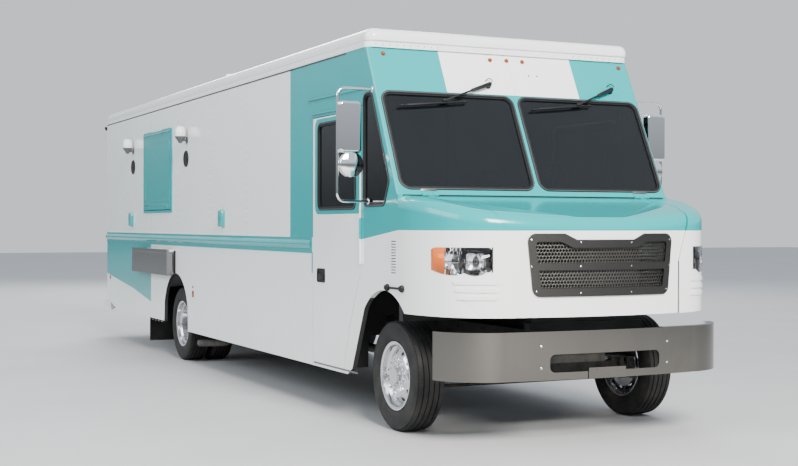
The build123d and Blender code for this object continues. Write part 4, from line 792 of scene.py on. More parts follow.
def tube(bm, points, radius, cyclic=False, sides=2, poly=False):
    """Round tube along smooth points, or along straight runs between many."""
    curve = bpy.data.curves.new("run", "CURVE")
    curve.dimensions = "3D"
    curve.bevel_depth = radius
    curve.bevel_resolution = sides
    curve.resolution_u = 6
    curve.use_fill_caps = True
    spline = curve.splines.new("POLY" if poly else "BEZIER")
    spots = spline.points if poly else spline.bezier_points
    spots.add(len(points) - 1)
    for spot, point in zip(spots, points):
        spot.co = (*point, 1) if poly else point
        if not poly:
            spot.handle_left_type = spot.handle_right_type = "AUTO"
    spline.use_cyclic_u = cyclic
    run = bpy.data.objects.new("run", curve)
    mesh = bpy.data.meshes.new_from_object(run)
    bm.from_mesh(mesh)
    bpy.data.objects.remove(run)
    bpy.data.curves.remove(curve)
    bpy.data.meshes.remove(mesh)


def small_shape(build):
    """A mesh made once, for stamping many times."""
    bm = bmesh.new()
    build(bm)
    bmesh.ops.recalc_face_normals(bm, faces=bm.faces)
    mesh = bpy.data.meshes.new("small_shape")
    bm.to_mesh(mesh)
    bm.free()
    return mesh


def stamp(bm, build, places):
    """The same small shape at each place."""
    shape = small_shape(build)
    for place in places:
        copy = shape.copy()
        copy.transform(place)
        bm.from_mesh(copy)
        bpy.data.meshes.remove(copy)
    bpy.data.meshes.remove(shape)


def turn_over(bm, geom):
    """Reflect some geometry to the truck's other side."""
    bmesh.ops.scale(bm, vec=(-1, 1, 1), verts=new_verts(geom))
    bmesh.ops.reverse_faces(bm, faces=[f for f in geom if isinstance(f, bmesh.types.BMFace)])


def both_sides(bm):
    """Add the reflection on the truck's other side."""
    turn_over(bm, bmesh.ops.duplicate(bm, geom=bm.verts[:] + bm.edges[:] + bm.faces[:])["geom"])


def add_piece(name, bm, finish, body=BODY, stands_for=(), sharp=32.0, recalculate=True):
    """Turn a bmesh into a finished piece that rides on a body."""
    if recalculate:
        bmesh.ops.remove_doubles(bm, verts=bm.verts, dist=0.00002)
        bmesh.ops.recalc_face_normals(bm, faces=bm.faces)
    mesh = bpy.data.meshes.new(name)
    bm.to_mesh(mesh)
    bm.free()
    mesh.materials.append(FINISH[finish])
    mesh.shade_smooth()
    mesh.set_sharp_from_angle(angle=radians(sharp))
    piece = bpy.data.objects.new(name, mesh)
    bpy.context.scene.collection.objects.link(piece)
    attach(piece, body)
    if stands_for:
        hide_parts(*stands_for)
    return piece


def add_pair(name, build, finish, bodies, stands_for=((), ())):
    """The same piece on the right and, reflected, on the left."""
    for side, body, nodes in zip(("right", "left"), bodies, stands_for):
        bm = bmesh.new()
        build(bm)
        if side == "left":
            turn_over(bm, bm.verts[:] + bm.faces[:])
        add_piece(f"{name}_{side}", bm, finish, body, stands_for=nodes)


def add_on_both(name, build, finish, sharp=32.0):
    """One piece on the body that holds the right side's shapes and their reflection."""
    bm = bmesh.new()
    build(bm)
    both_sides(bm)
    add_piece(name, bm, finish, sharp=sharp)


def thicken(piece, wall):
    """Give an open sheet its thickness, inwards."""
    solid = piece.modifiers.new("thickness", "SOLIDIFY")
    solid.thickness = wall
    solid.offset = -1.0


def touch(node, start, direction):
    """Where a ray from (x, station, z) first meets a frame node, and the way out of its surface there."""
    mesh = frame["nodes"][node].data
    tree = BVHTree.FromPolygons([v.co for v in mesh.vertices], [p.vertices for p in mesh.polygons])
    spot, out, _, _ = tree.ray_cast(at(*start), Vector(direction))
    if spot is None:
        raise RuntimeError(f"no surface of {node} along the ray from {start}")
    return spot, out if out.dot(Vector(direction)) < 0 else -out


# Small shapes of unit radius, lying on the plane of their seat, and a marker lamp in metres


def button(bm):
    """Round screw head with a dished middle."""
    lathe(bm, [(0, 1), (0.45, 0.85), (0.6, 0.5), (0.45, 0.42), (0.45, 0)], Vector(), UP, 8)


def hex_head(bm):
    """Bolt head with its washer."""
    bmesh.ops.create_cone(bm, cap_ends=True, segments=16, radius1=1.25, radius2=1.2, depth=0.25,
                          matrix=Matrix.Translation((0, 0, 0.125)))
    bmesh.ops.create_cone(bm, cap_ends=True, segments=6, radius1=1.0, radius2=0.94, depth=0.7,
                          matrix=Matrix.Translation((0, 0, 0.58)))


def rivet(bm):
    """Domed rivet head."""
    lathe(bm, [(0.0, 1.0), (0.30, 0.86), (0.50, 0.45), (0.55, 0.0)], Vector(), UP, 8)


def marker_lamp(bm, spot, out):
    """Small round lamp."""
    lathe(bm, [(0.0, 0.019), (0.006, 0.0185), (0.014, 0.013), (0.018, 0.0)], spot, out, 16)


# Glazing


def rubber(bm, points, radius, place):
    """Window rubber: a band round the opening and a lip down to the glass."""
    width = bpy.context.scene.truck_trim.rubber_width
    lap = 0.0143
    rim(bm, outline(points, radius, width - lap), place, width, 0.0, 0.005, 0.002)
    rim(bm, outline(points, radius, -lap - 0.0001), place, 0.012, -0.0118, 0.0135, 0.002)


def seal_line(bm, points, radius, place):
    """Locking strip along the middle of a window rubber."""
    rim(bm, outline(points, radius, -0.0015), place, 0.005, 0.0048, 0.0016)


class TRUCK_OT_glazing(bpy.types.Operator):
    """Fit the rubbers and locking strips round every window"""

    bl_idname = "truck.glazing"
    bl_label = "Window Rubbers"

    def execute(self, context):
        kinds = (("window_rubbers", rubber, "rubber"), ("window_seal_lines", seal_line, "seal"))
        for name, maker, finish in kinds:
            def cab(bm):
                maker(bm, WINDSCREEN, 0.085, SCREEN)
                maker(bm, QUARTER, 0.062, SIDE)

            add_on_both(name, cab, finish)
            add_pair(f"door_{name}", lambda bm: maker(bm, DOOR_WINDOW, 0.060, SIDE), finish, CAB_DOORS)
            add_pair(f"rear_{name}", lambda bm: maker(bm, REAR_WINDOW, 0.050, REAR), finish, REAR_DOORS)
        return {"FINISHED"}


# Nose

GRILLE_FOOT = 1.060             # where the sheet's sides, which lean outwards, are measured from
GRILLE_LEAN = 0.1
GRILLE_DEPTH = 0.0224           # of the sheet behind the nose's wall
GRILLE_BARS = ((1.076, 1.123), (1.247, 1.299), (1.4478, 1.478))   # plain strips, from z to z
HOLE_ACROSS, HOLE_UP = 0.0242, 0.0248


def hole_cell(bm, radius):
    """One cell of the grille's sheet round its hole."""
    inner = bmesh.ops.create_circle(bm, cap_ends=False, segments=12, radius=radius,
                                    matrix=Matrix.Rotation(radians(15), 4, "Z"))["verts"]
    edges = list({e for v in inner for e in v.link_edges})
    for vert in new_verts(bmesh.ops.extrude_edge_only(bm, edges=edges)["geom"]):
        vert.co /= max(abs(vert.co.x) / HOLE_ACROSS, abs(vert.co.y) / HOLE_UP) * 2


def hole_places():
    """Places of the holes: five rows below the middle bar and six above it, each second row shifted."""
    rows = [GRILLE_BARS[1][0] - HOLE_UP * (i + 0.5) for i in range(5)]
    rows += [GRILLE_BARS[1][1] + HOLE_UP * (i + 0.5) for i in range(6)]
    places = []
    for row, z in enumerate(rows):
        shift = HOLE_ACROSS / 2 * (row % 2)
        limit = 0.562 + (z - GRILLE_FOOT) * GRILLE_LEAN - HOLE_ACROSS
        columns = int((limit - shift) // HOLE_ACROSS)
        xs = {side * (shift + i * HOLE_ACROSS) for i in range(columns + 1) for side in (-1, 1)}
        places += [Matrix.Translation((x, 0, z)) @ Matrix.Rotation(pi / 2, 4, "X") for x in sorted(xs)]
    return places


class TRUCK_OT_grille(bpy.types.Operator):
    """Make the grille's perforated sheet and its screws"""

    bl_idname = "truck.grille"
    bl_label = "Grille"

    def execute(self, context):
        radius = context.scene.truck_trim.hole_radius
        bm = bmesh.new()
        stamp(bm, lambda cell: hole_cell(cell, radius), hole_places())
        for low, high in GRILLE_BARS:
            strip = bmesh.ops.create_grid(bm, x_segments=40, y_segments=1, size=0.5)["verts"]
            wide = 2 * (0.550 + (low - GRILLE_FOOT) * GRILLE_LEAN)
            bmesh.ops.scale(bm, vec=(wide, high - low, 1), verts=strip)
            bmesh.ops.rotate(bm, cent=(0, 0, 0), matrix=Matrix.Rotation(pi / 2, 3, "X"), verts=strip)
            bmesh.ops.translate(bm, vec=(0, 0, (low + high) / 2), verts=strip)
        for vert in bm.verts:
            vert.co.y = nose_point(vert.co.x, 0, -GRILLE_DEPTH)[0].y
        bmesh.ops.remove_doubles(bm, verts=bm.verts, dist=0.00005)
        bm.normal_update()
        bmesh.ops.reverse_faces(bm, faces=[face for face in bm.faces if face.normal.y > 0])
        sheet = add_piece("grille_perforated_sheet", bm, "perforated", "hood_body",
                          stands_for=("grille_sheet",), recalculate=False)
        thicken(sheet, 0.0022)

        bm = bmesh.new()
        spots = [(x, z) for x in (-0.216, 0.216) for z in (1.443, 1.273, 1.085)]
        edge_spots = ((0.592, 1.462), (0.590, 1.273), (0.556, 1.098))
        spots += [(side * x, z) for side in (-1, 1) for x, z in edge_spots]
        stamp(bm, button, [scaled(facing(*nose_point(x, z, -0.002)), 0.0062) for x, z in spots])
        add_piece("grille_screws", bm, "mirror", "hood_body")
        return {"FINISHED"}


LAMP_BOWLS = ((1.088, 1.311), (0.972, 1.308))   # x and z of each reflector's middle
AMBER_EDGE = 1.120
BOWL = [(-0.0375, 0.0), (-0.0355, 0.0190), (-0.0305, 0.0390), (-0.0215, 0.0595), (-0.0095, 0.0745),
        (-0.0062, 0.0790), (-0.0050, 0.0780), (-0.0080, 0.0730), (-0.0200, 0.0580), (-0.0290, 0.0380),
        (-0.0340, 0.0180), (-0.0360, 0.0)]
BULB_CAP = [(-0.036, 0.020), (-0.026, 0.019), (-0.018, 0.012), (-0.015, 0.0)]
BOWL_RING = [(-0.0045, 0.081), (-0.0035, 0.079), (-0.0045, 0.077), (-0.008, 0.079)]


def lamp_faces(keep):
    """The lamps' frame mesh, cut at the amber's edge, with only the faces that a test keeps."""
    bm = bmesh.new()
    bm.from_mesh(frame["nodes"]["headlights"].data)
    bmesh.ops.remove_doubles(bm, verts=bm.verts, dist=0.00001)
    for edge in (-AMBER_EDGE, AMBER_EDGE):
        bmesh.ops.bisect_plane(bm, geom=bm.verts[:] + bm.edges[:] + bm.faces[:], plane_co=(edge, 0, 0),
                               plane_no=(1, 0, 0))
    drop = []
    for face in bm.faces:
        middle = face.calc_center_median()
        spot, out = nose_point(middle.x, middle.z)
        outer = face.normal.dot(out) > 0.5 and (middle - spot).dot(out) > -0.001
        if not keep(outer, abs(middle.x) > AMBER_EDGE):
            drop.append(face)
    bmesh.ops.delete(bm, geom=drop, context="FACES")
    return bm


class TRUCK_OT_headlights(bpy.types.Operator):
    """Fill the headlights with reflectors behind clear and amber lenses"""

    bl_idname = "truck.headlights"
    bl_label = "Headlights"

    def execute(self, context):
        tray = lamp_faces(lambda outer, amber: not outer)
        add_piece("headlight_housings", tray, "chrome", stands_for=("headlights",),
                  recalculate=False)
        for name, wanted, finish in (("headlight_lenses", False, "clear"), ("turn_lamp_lenses", True, "amber")):
            bm = lamp_faces(lambda outer, amber: outer and amber == wanted)
            thicken(add_piece(name, bm, finish, recalculate=False), 0.0025)

        def bowls(bm):
            for x, z in LAMP_BOWLS:
                lathe(bm, BOWL, *nose_point(-x, z), 20)

        def bulbs(bm):
            for x, z in LAMP_BOWLS:
                lathe(bm, BULB_CAP, *nose_point(-x, z), 16)
                lathe(bm, BOWL_RING, *nose_point(-x, z), 32, closed=True)

        # A black block at each lamp's inner edge: partly its bezel, partly a painted shadow line along the side of
        # the lamp's pocket
        def inner_edge(bm):
            spot, out = nose_point(-0.866, 1.322)
            block(bm, (-0.005, -0.088, -0.004), (0.005, 0.088, 0.0045), 0.002, plane(spot, UP.cross(out), UP, out))

        add_on_both("headlight_bowls", bowls, "mirror", sharp=8.0)
        add_on_both("headlight_bulb_caps", bulbs, "chrome")
        add_on_both("headlight_inner_edges", inner_edge, "rubber")
        return {"FINISHED"}


class TRUCK_OT_nose_fittings(bpy.types.Operator):
    """Add the hood's hinge plates, side latches and louvre slots"""

    bl_idname = "truck.nose_fittings"
    bl_label = "Nose Fittings"

    def execute(self, context):
        louvres = [1.205 + i * 0.0213 for i in range(12)]

        def latch(bm):
            for station in (0.475, 0.730):
                lathe(bm, [(0.0, 0.027), (0.012, 0.028), (0.022, 0.022), (0.026, 0.0)], on_side(station, 1.095),
                      -ACROSS, 20)
                block(bm, (-1.243, station - 0.028, 1.078), (-1.218, station + 0.032, 1.112), 0.006)
            block(bm, (-1.233, 0.49, 1.087), (-1.220, 0.72, 1.103), 0.004)

        # The slots are flush black strips: their black is painted shade of the openings under the louvre lips
        def slots(bm):
            for z in louvres:
                block(bm, (-1.2196, 0.593, z), (-1.2184, 0.672, z + 0.0075))

        def lips(bm):
            for z in louvres:
                block(bm, (-1.2225, 0.590, z + 0.0075), (-1.2185, 0.675, z + 0.0105), 0.001)

        def hinge_plate(bm):
            spot = SCREEN @ Vector((-0.957, 0.030, 0.0045))
            block(bm, (-0.067, -0.011, 0), (0.067, 0.011, 0.001), 0.0005, screen_plane(spot))

        add_on_both("hood_latches", latch, "rubber")
        add_on_both("louvre_slots", slots, "black")
        add_on_both("louvre_lips", lips, "white")
        add_on_both("hood_hinge_plates", hinge_plate, "stainless")
        return {"FINISHED"}


# Each wiper's pivot, its arm's end and its blade's ends, as (x, z) on the windscreen's plane
WIPERS = (((-0.216, 2.679), (-0.651, 2.530), (-1.059, 2.477), (-0.453, 2.533)),
          ((0.954, 2.688), (0.589, 2.546), (0.125, 2.489), (0.717, 2.549)))
# The washer hose's points as shifts from the pivot along x and z, and heights over the plane
WASHER_HOSE = ((0.010, 0.010, 0.030), (0.030, 0.030, 0.034), (0.012, 0.052, 0.026), (-0.010, 0.045, 0.006),
               (-0.016, 0.040, -0.002))


class TRUCK_OT_wipers(bpy.types.Operator):
    """Replace the plain wipers with tapered arms, framed blades and washer hoses"""

    bl_idname = "truck.wipers"
    bl_label = "Wipers"

    def execute(self, context):
        arms, blades, hoses = bmesh.new(), bmesh.new(), bmesh.new()
        for pivot, arm_end, near, far in WIPERS:
            pivot, arm_end, near, far = Vector(pivot), Vector(arm_end), Vector(near), Vector(far)
            lathe(arms, [(0.0, 0.024), (0.018, 0.022), (0.030, 0.017), (0.042, 0.017), (0.044, 0.0)],
                  on_screen(*pivot), SCREEN_OUT, 20)
            knee = pivot.lerp(arm_end, 0.42)
            bar(arms, on_screen(*pivot, 0.036), on_screen(*knee, 0.038), 0.036, 0.014, 0.004, 0.026)
            bar(arms, on_screen(*knee, 0.037), on_screen(*arm_end, 0.030), 0.016, 0.009, 0.003, 0.012)
            bar(blades, on_screen(*near, 0.012), on_screen(*far, 0.012), 0.009, 0.012)
            bar(blades, on_screen(*near.lerp(far, 0.12), 0.022), on_screen(*near.lerp(far, 0.88), 0.022),
                0.015, 0.007, 0.002)
            for share in (0.04, 0.30, 0.70, 0.96):
                x, z = near.lerp(far, share)
                bar(blades, on_screen(x - 0.012, z, 0.018), on_screen(x + 0.012, z, 0.018), 0.017, 0.012, 0.002)
            block(blades, (-0.022, -0.010, -0.014), (0.022, 0.010, 0.006), 0.003,
                  screen_plane(on_screen(*arm_end, 0.031)))
            tube(hoses, [on_screen(pivot.x + x, pivot.y + z, rise) for x, z, rise in WASHER_HOSE], 0.0035)
        add_piece("wiper_arms", arms, "black", stands_for=("wipers",))
        add_piece("wiper_blades", blades, "rubber")
        add_piece("washer_hoses", hoses, "rubber")
        return {"FINISHED"}


# Cab sides, doors and body trim


class TRUCK_OT_cab_trim(bpy.types.Operator):
    """Add rain gutters, the strip along the roof, door handles and foot strips"""

    bl_idname = "truck.cab_trim"
    bl_label = "Cab and Body Trim"

    def execute(self, context):
        def gutters(bm):
            for z, start, end in ((2.635, 1.127, 2.364), (2.508, 1.235, 2.290)):
                block(bm, (-1.230, start, z - 0.006), (-1.2185, end, z + 0.001), 0.002)
                block(bm, (-1.232, start, z - 0.006), (-1.229, end, z + 0.007), 0.001)

        def strip(bm):
            block(bm, (-1.2222, 1.55, 2.944), (-1.2188, 10.10, 2.9565), 0.001)
            for i in range(6):
                start = 2.77 + PANEL * i
                block(bm, (-1.2228, start, 2.943), (-1.2188, start + 0.03, 2.9565), 0.001)

        def handle(bm):
            rim(bm, outline(oblong((1.994, 1.079), (2.167, 1.196)), 0.016), SIDE, 0.012, 0.0, 0.006, 0.002)
            block(bm, (2.003, 1.088, 0.0005), (2.158, 1.187, 0.0015), 0.0, SIDE)
            block(bm, (2.012, 1.105, 0.001), (2.120, 1.150, 0.013), 0.005, SIDE)
            lathe(bm, [(0.0, 0.011), (0.006, 0.011), (0.008, 0.008), (0.006, 0.005), (0.006, 0.0)],
                  SIDE @ Vector((2.138, 1.166, 0.001)), -ACROSS, 16)

        def foot_strip(bm):
            block(bm, (1.300, 0.383, 0.0003), (2.240, 0.397, 0.0030), 0.001, SIDE)

        add_on_both("rain_gutters", gutters, "teal")
        add_on_both("roof_edge_strips", strip, "strip")
        add_pair("door_handle", handle, "black", CAB_DOORS)
        add_pair("door_foot_strip", foot_strip, "stainless", CAB_DOORS)
        return {"FINISHED"}


def row(place, start, end, pitch):
    """Placements on a plane from one point to another."""
    start, end = Vector(start), Vector(end)
    count = max(1, round((end - start).length / pitch))
    return [place @ Matrix.Translation((*start.lerp(end, i / count), 0)) for i in range(count + 1)]


# Rivet rows on the side: stations of the upper and lower upright ones, then (height, from, to) of the
# level ones at the set pitch and at twice that
UPPER_ROWS = (2.320, 2.808, 2.844, 4.028, 4.064, 5.248, 5.284, 6.468, 6.504, 8.908, 8.944, 10.060)
LOWER_ROWS = (2.320, 2.808, 2.844, 4.046, 5.266, 8.926, 10.060)
LEVEL_ROWS = ((1.468, 2.36, 10.08), (1.312, 2.36, 10.08), (2.930, 2.36, 10.08))
FOOT_ROWS = ((0.400, 2.36, 5.95), (0.400, 7.20, 7.90))


class TRUCK_OT_rivets(bpy.types.Operator):
    """Set the rows of rivets along the panels, roof edge and rear frame"""

    bl_idname = "truck.rivets"
    bl_label = "Rivets"

    def execute(self, context):
        trim = context.scene.truck_trim
        pitch, radius = trim.rivet_pitch, trim.rivet_radius
        rows = []
        for z, start, end in LEVEL_ROWS:
            rows += row(SIDE, (start, z), (end, z), pitch)
        for z, start, end in FOOT_ROWS:
            rows += row(SIDE, (start, z), (end, z), pitch * 2)
        for station in UPPER_ROWS:
            rows += row(SIDE, (station, 1.54), (station, 2.86), pitch)
        for station in LOWER_ROWS:
            rows += row(SIDE, (station, 0.62 if station > 8 else 0.47), (station, 1.25), pitch * 2)
        rows += row(side_plane(-1.2250), (1.20, 2.980), (10.06, 2.980), pitch)
        bm = bmesh.new()
        stamp(bm, rivet, [scaled(place, radius) for place in rows])
        both_sides(bm)
        add_piece("side_rivets", bm, "rivets")

        rows = row(front_plane(1.112), (-1.15, 2.980), (1.15, 2.980), 0.060)
        rows += row(REAR, (-1.19, 0.66), (-1.19, 2.90), pitch) + row(REAR, (1.19, 0.66), (1.19, 2.90), pitch)
        rows += row(REAR, (-1.11, 2.93), (1.11, 2.93), pitch) + row(REAR, (-1.11, 0.66), (-0.80, 0.66), pitch)
        rows += row(REAR, (0.80, 0.66), (1.11, 0.66), pitch)
        bm = bmesh.new()
        stamp(bm, rivet, [scaled(place, radius * 0.85) for place in rows])
        add_piece("end_rivets", bm, "rivets")
        return {"FINISHED"}


class TRUCK_OT_header(bpy.types.Operator):
    """Add the marker lamps, seam strip and small plugs over the windscreen"""

    bl_idname = "truck.header"
    bl_label = "Header"

    def execute(self, context):
        bm = bmesh.new()
        block(bm, (-0.004, up_screen(2.632), 0.0), (0.030, up_screen(2.952), 0.0035), 0.0015, SCREEN)
        add_piece("header_seam_strip", bm, "white")

        bm = bmesh.new()
        for x, rise in ((-1.093, 0.0), (-0.137, 0.0), (0.015, 0.003), (0.165, 0.0), (1.117, 0.0)):
            marker_lamp(bm, on_screen(x, 2.905, rise), SCREEN_OUT)
        add_piece("marker_lamps", bm, "dark_amber")

        bm = bmesh.new()
        for x in (0.195, 0.275):
            lathe(bm, [(0.0, 0.008), (0.002, 0.007), (0.0022, 0.0)], on_screen(x, 2.790), SCREEN_OUT, 12)
        add_piece("header_plugs", bm, "black")
        return {"FINISHED"}


class TRUCK_OT_bumpers(bpy.types.Operator):
    """Bolt the front bumper and stud the rear step"""

    bl_idname = "truck.bumpers"
    bl_label = "Bumpers"

    def execute(self, context):
        bm = bmesh.new()
        spots = [touch("front_bumper", (x, -2.0, z), BACK) for x in (-0.537, 0.537) for z in (0.716, 0.562)]
        stamp(bm, button, [scaled(facing(*spot), 0.010) for spot in spots])
        add_piece("bumper_bolts", bm, "mirror")

        bm = bmesh.new()
        for x in (-1.05, -0.75, -0.45, -0.15, 0.15, 0.45, 0.75, 1.05):
            for station in (10.22, 10.34):
                spot, _ = touch("rear_bumper", (x, station, 1.5), -UP)
                for shift in (-0.05, 0, 0.05):
                    block(bm, (-0.014, -0.004, -0.001), (0.014, 0.004, 0.0025), 0.001,
                          plane(spot + ACROSS * shift, ACROSS, BACK, UP))
        add_piece("rear_step_grips", bm, "white")
        return {"FINISHED"}


# Wheels

TREAD = 0.4180                  # radius of the tread's ribs
HUB_RING = [(0.0, 0.096), (0.005, 0.095), (0.007, 0.088), (0.0, 0.086)]
NUT_SKIRT = [(0.0, 0.022), (0.003, 0.021), (0.003, 0.0)]
NUT_CAP = [(0.020, 0.012), (0.040, 0.011), (0.045, 0.007), (0.046, 0.0)]


def tyre_section(groove):
    """Closed section of a tyre as (distance from its middle, radius)."""
    outer = [(0.0920, 0.2625), (0.1040, 0.2700), (0.1140, 0.2860), (0.1185, 0.3020), (0.1200, 0.3030),
             (0.1222, 0.3260), (0.1224, 0.3480), (0.1190, 0.3680), (0.1200, 0.3700), (0.1178, 0.3760),
             (0.1140, 0.3900), (0.1080, 0.4040), (0.0990, 0.4150), (0.0700, TREAD), (0.0675, TREAD - groove),
             (0.0615, TREAD - groove), (0.0590, 0.4184), (0.0270, 0.4188), (0.0245, 0.4188 - groove),
             (0.0185, 0.4188 - groove), (0.0160, 0.4190)]
    inner = [(0.0, 0.4030), (0.0900, 0.3960), (0.1060, 0.3400), (0.0960, 0.2900), (0.0860, 0.2625)]
    return outer + [(-d, r) for d, r in reversed(outer)] + [(-d, r) for d, r in reversed(inner[1:])] + inner


def tyre(bm, x):
    """Ribbed tyre with notched shoulders, round a wheel at an x."""
    section = tyre_section(bpy.context.scene.truck_wheels.groove)
    notches = []
    for face in lathe(bm, section, Vector((x, 0, 0)), -ACROSS, 90, closed=True):
        middle = face.calc_center_median()
        if 0.404 < middle.yz.length < 0.4148 and 0.098 < abs(middle.x - x) < 0.110:
            notches.append(face)
    bmesh.ops.inset_individual(bm, faces=notches, thickness=0.0035, depth=-0.006, use_even_offset=True)


def round_hub(x, count, radius, first):
    """Points spaced evenly on a circle round a wheel's axis."""
    angles = [2 * pi * (i + first) / count for i in range(count)]
    return [Vector((x, cos(angle) * radius, sin(angle) * radius)) for angle in angles]


def hub(bm, x):
    """Ring of covered nuts, the hub's ring and its bolts, standing on a disc's face."""
    wheels = bpy.context.scene.truck_wheels
    for foot in round_hub(x, wheels.nuts, wheels.nut_circle, 0.5):
        bmesh.ops.create_cone(bm, cap_ends=True, segments=6, radius1=0.0185, radius2=0.0175, depth=0.022,
                              matrix=facing(foot - ACROSS * 0.011, -ACROSS))
        lathe(bm, NUT_SKIRT, foot, -ACROSS, 16)
        lathe(bm, NUT_CAP, foot, -ACROSS, 12)
    lathe(bm, HUB_RING, Vector((x, 0, 0)), -ACROSS, 48, closed=True)
    for foot in round_hub(x, 8, 0.070, 0.25):
        lathe(bm, [(0.0, 0.0065), (0.006, 0.006), (0.006, 0.0)], foot, -ACROSS, 6)


def valve(bm, x):
    """Bent tyre valve by a disc's face."""
    foot = Vector((x + 0.004, 0.0, -0.196))
    shifts = ((0, 0, 0), (-0.020, 0, 0.004), (-0.030, 0, 0.022), (-0.032, 0, 0.048))
    tube(bm, [foot + Vector(shift) for shift in shifts], 0.004)


class TRUCK_OT_wheels(bpy.types.Operator):
    """Replace the tyres with ribbed ones and fit nuts, hub rings and valves"""

    bl_idname = "truck.wheels"
    bl_label = "Wheels"

    def execute(self, context):
        circle = context.scene.truck_wheels.nut_circle
        for end, axle, rim_node, tyres, xs in (
                ("front", AXLES[0], "front_rim_right", "tyre", (FRONT_TYRE_X,)),
                ("rear", AXLES[1], "rear_rims_right", "tyres", TWIN_TYRES_X)):
            bodies = (f"{end}_wheel_right", f"{end}_wheel_left")
            nodes = ((f"{end}_{tyres}_right",), (f"{end}_{tyres}_left",))
            between_nuts = (axle + circle * cos(pi / 10), AXLE_HEIGHT + circle * sin(pi / 10))
            face = touch(rim_node, (-2.0, *between_nuts), ACROSS)[0].x

            def on_axle(make):
                def build(bm):
                    make(bm)
                    bmesh.ops.translate(bm, vec=at(0, axle, AXLE_HEIGHT), verts=bm.verts)
                return build

            add_pair(f"ribbed_{end}_{tyres}", on_axle(lambda bm: [tyre(bm, -x) for x in xs]), "tyre", bodies,
                     nodes)
            add_pair(f"{end}_wheel_nuts", on_axle(lambda bm: hub(bm, face)), "mirror", bodies)
            add_pair(f"{end}_valve", on_axle(lambda bm: valve(bm, face)), "mirror", bodies)
        return {"FINISHED"}


# Mirrors and fittings outside

MIRROR_X, MIRROR_Z = -1.403, 2.028              # middle of the round mirror


class TRUCK_OT_mirrors(bpy.types.Operator):
    """Fit mirror glass, rims, domed backs and wall brackets"""

    bl_idname = "truck.mirrors"
    bl_label = "Mirrors"

    def execute(self, context):
        back = touch("mirrors", (-1.42, 3.0, 2.30), -BACK)[0]
        behind = touch("mirrors", (MIRROR_X, 3.0, MIRROR_Z), -BACK)[0]
        ahead = touch("mirrors", (MIRROR_X, -3.0, MIRROR_Z), BACK)[0]
        face = plane(Vector((0, back.y, 0)), -ACROSS, UP, BACK)

        def glass(bm):
            block(bm, (1.342, 2.129, 0.0003), (1.501, 2.498, 0.0030), 0.001, face)
            lathe(bm, [(0.0005, 0.088), (0.005, 0.080), (0.011, 0.050), (0.014, 0.0)], behind, BACK, 40)

        def rims(bm):
            rim(bm, outline(oblong((1.335, 2.120), (1.508, 2.507)), 0.014), face, 0.006, 0.0, 0.005, 0.0015)
            lathe(bm, [(0.0, 0.097), (0.006, 0.096), (0.008, 0.092), (0.005, 0.089), (0.0, 0.089)], behind, BACK,
                  48, closed=True)
            lathe(bm, [(0.0, 0.098), (-0.006, 0.094), (-0.014, 0.076), (-0.021, 0.045), (-0.024, 0.0)], ahead,
                  BACK, 40)

        def brackets(bm):
            for station, z in ((1.030, 2.614), (1.100, 1.747)):
                lathe(bm, [(0.0, 0.026), (0.003, 0.026), (0.007, 0.018), (0.010, 0.0)], on_side(station, z),
                      -ACROSS, 20)

        add_on_both("mirror_glass", glass, "mirror")
        add_on_both("mirror_rims", rims, "mirror")
        add_on_both("mirror_brackets", brackets, "mirror")
        return {"FINISHED"}


PORCH_LAMPS = (6.130, 8.610)    # stations
SPEAKERS = (6.162, 8.615)
OUTLETS = (4.800, 8.670)
GLOBE = [(2.5465, 0.0), (2.5465, 0.054), (2.560, 0.0605), (2.600, 0.0620), (2.640, 0.0560), (2.664, 0.0390),
         (2.672, 0.0)]          # (height, radius)
GLOBE_CUP = [(2.480, 0.0), (2.480, 0.014), (2.488, 0.022), (2.505, 0.030), (2.540, 0.056), (2.550, 0.061),
             (2.556, 0.061), (2.556, 0.0)]
WALL_ROSE = [(0.0, 0.040), (0.006, 0.040), (0.010, 0.034), (0.012, 0.0)]
SPEAKER = [(0.0, 0.093), (0.009, 0.092), (0.012, 0.086), (0.008, 0.078), (0.006, 0.050), (0.010, 0.030),
           (0.012, 0.0)]


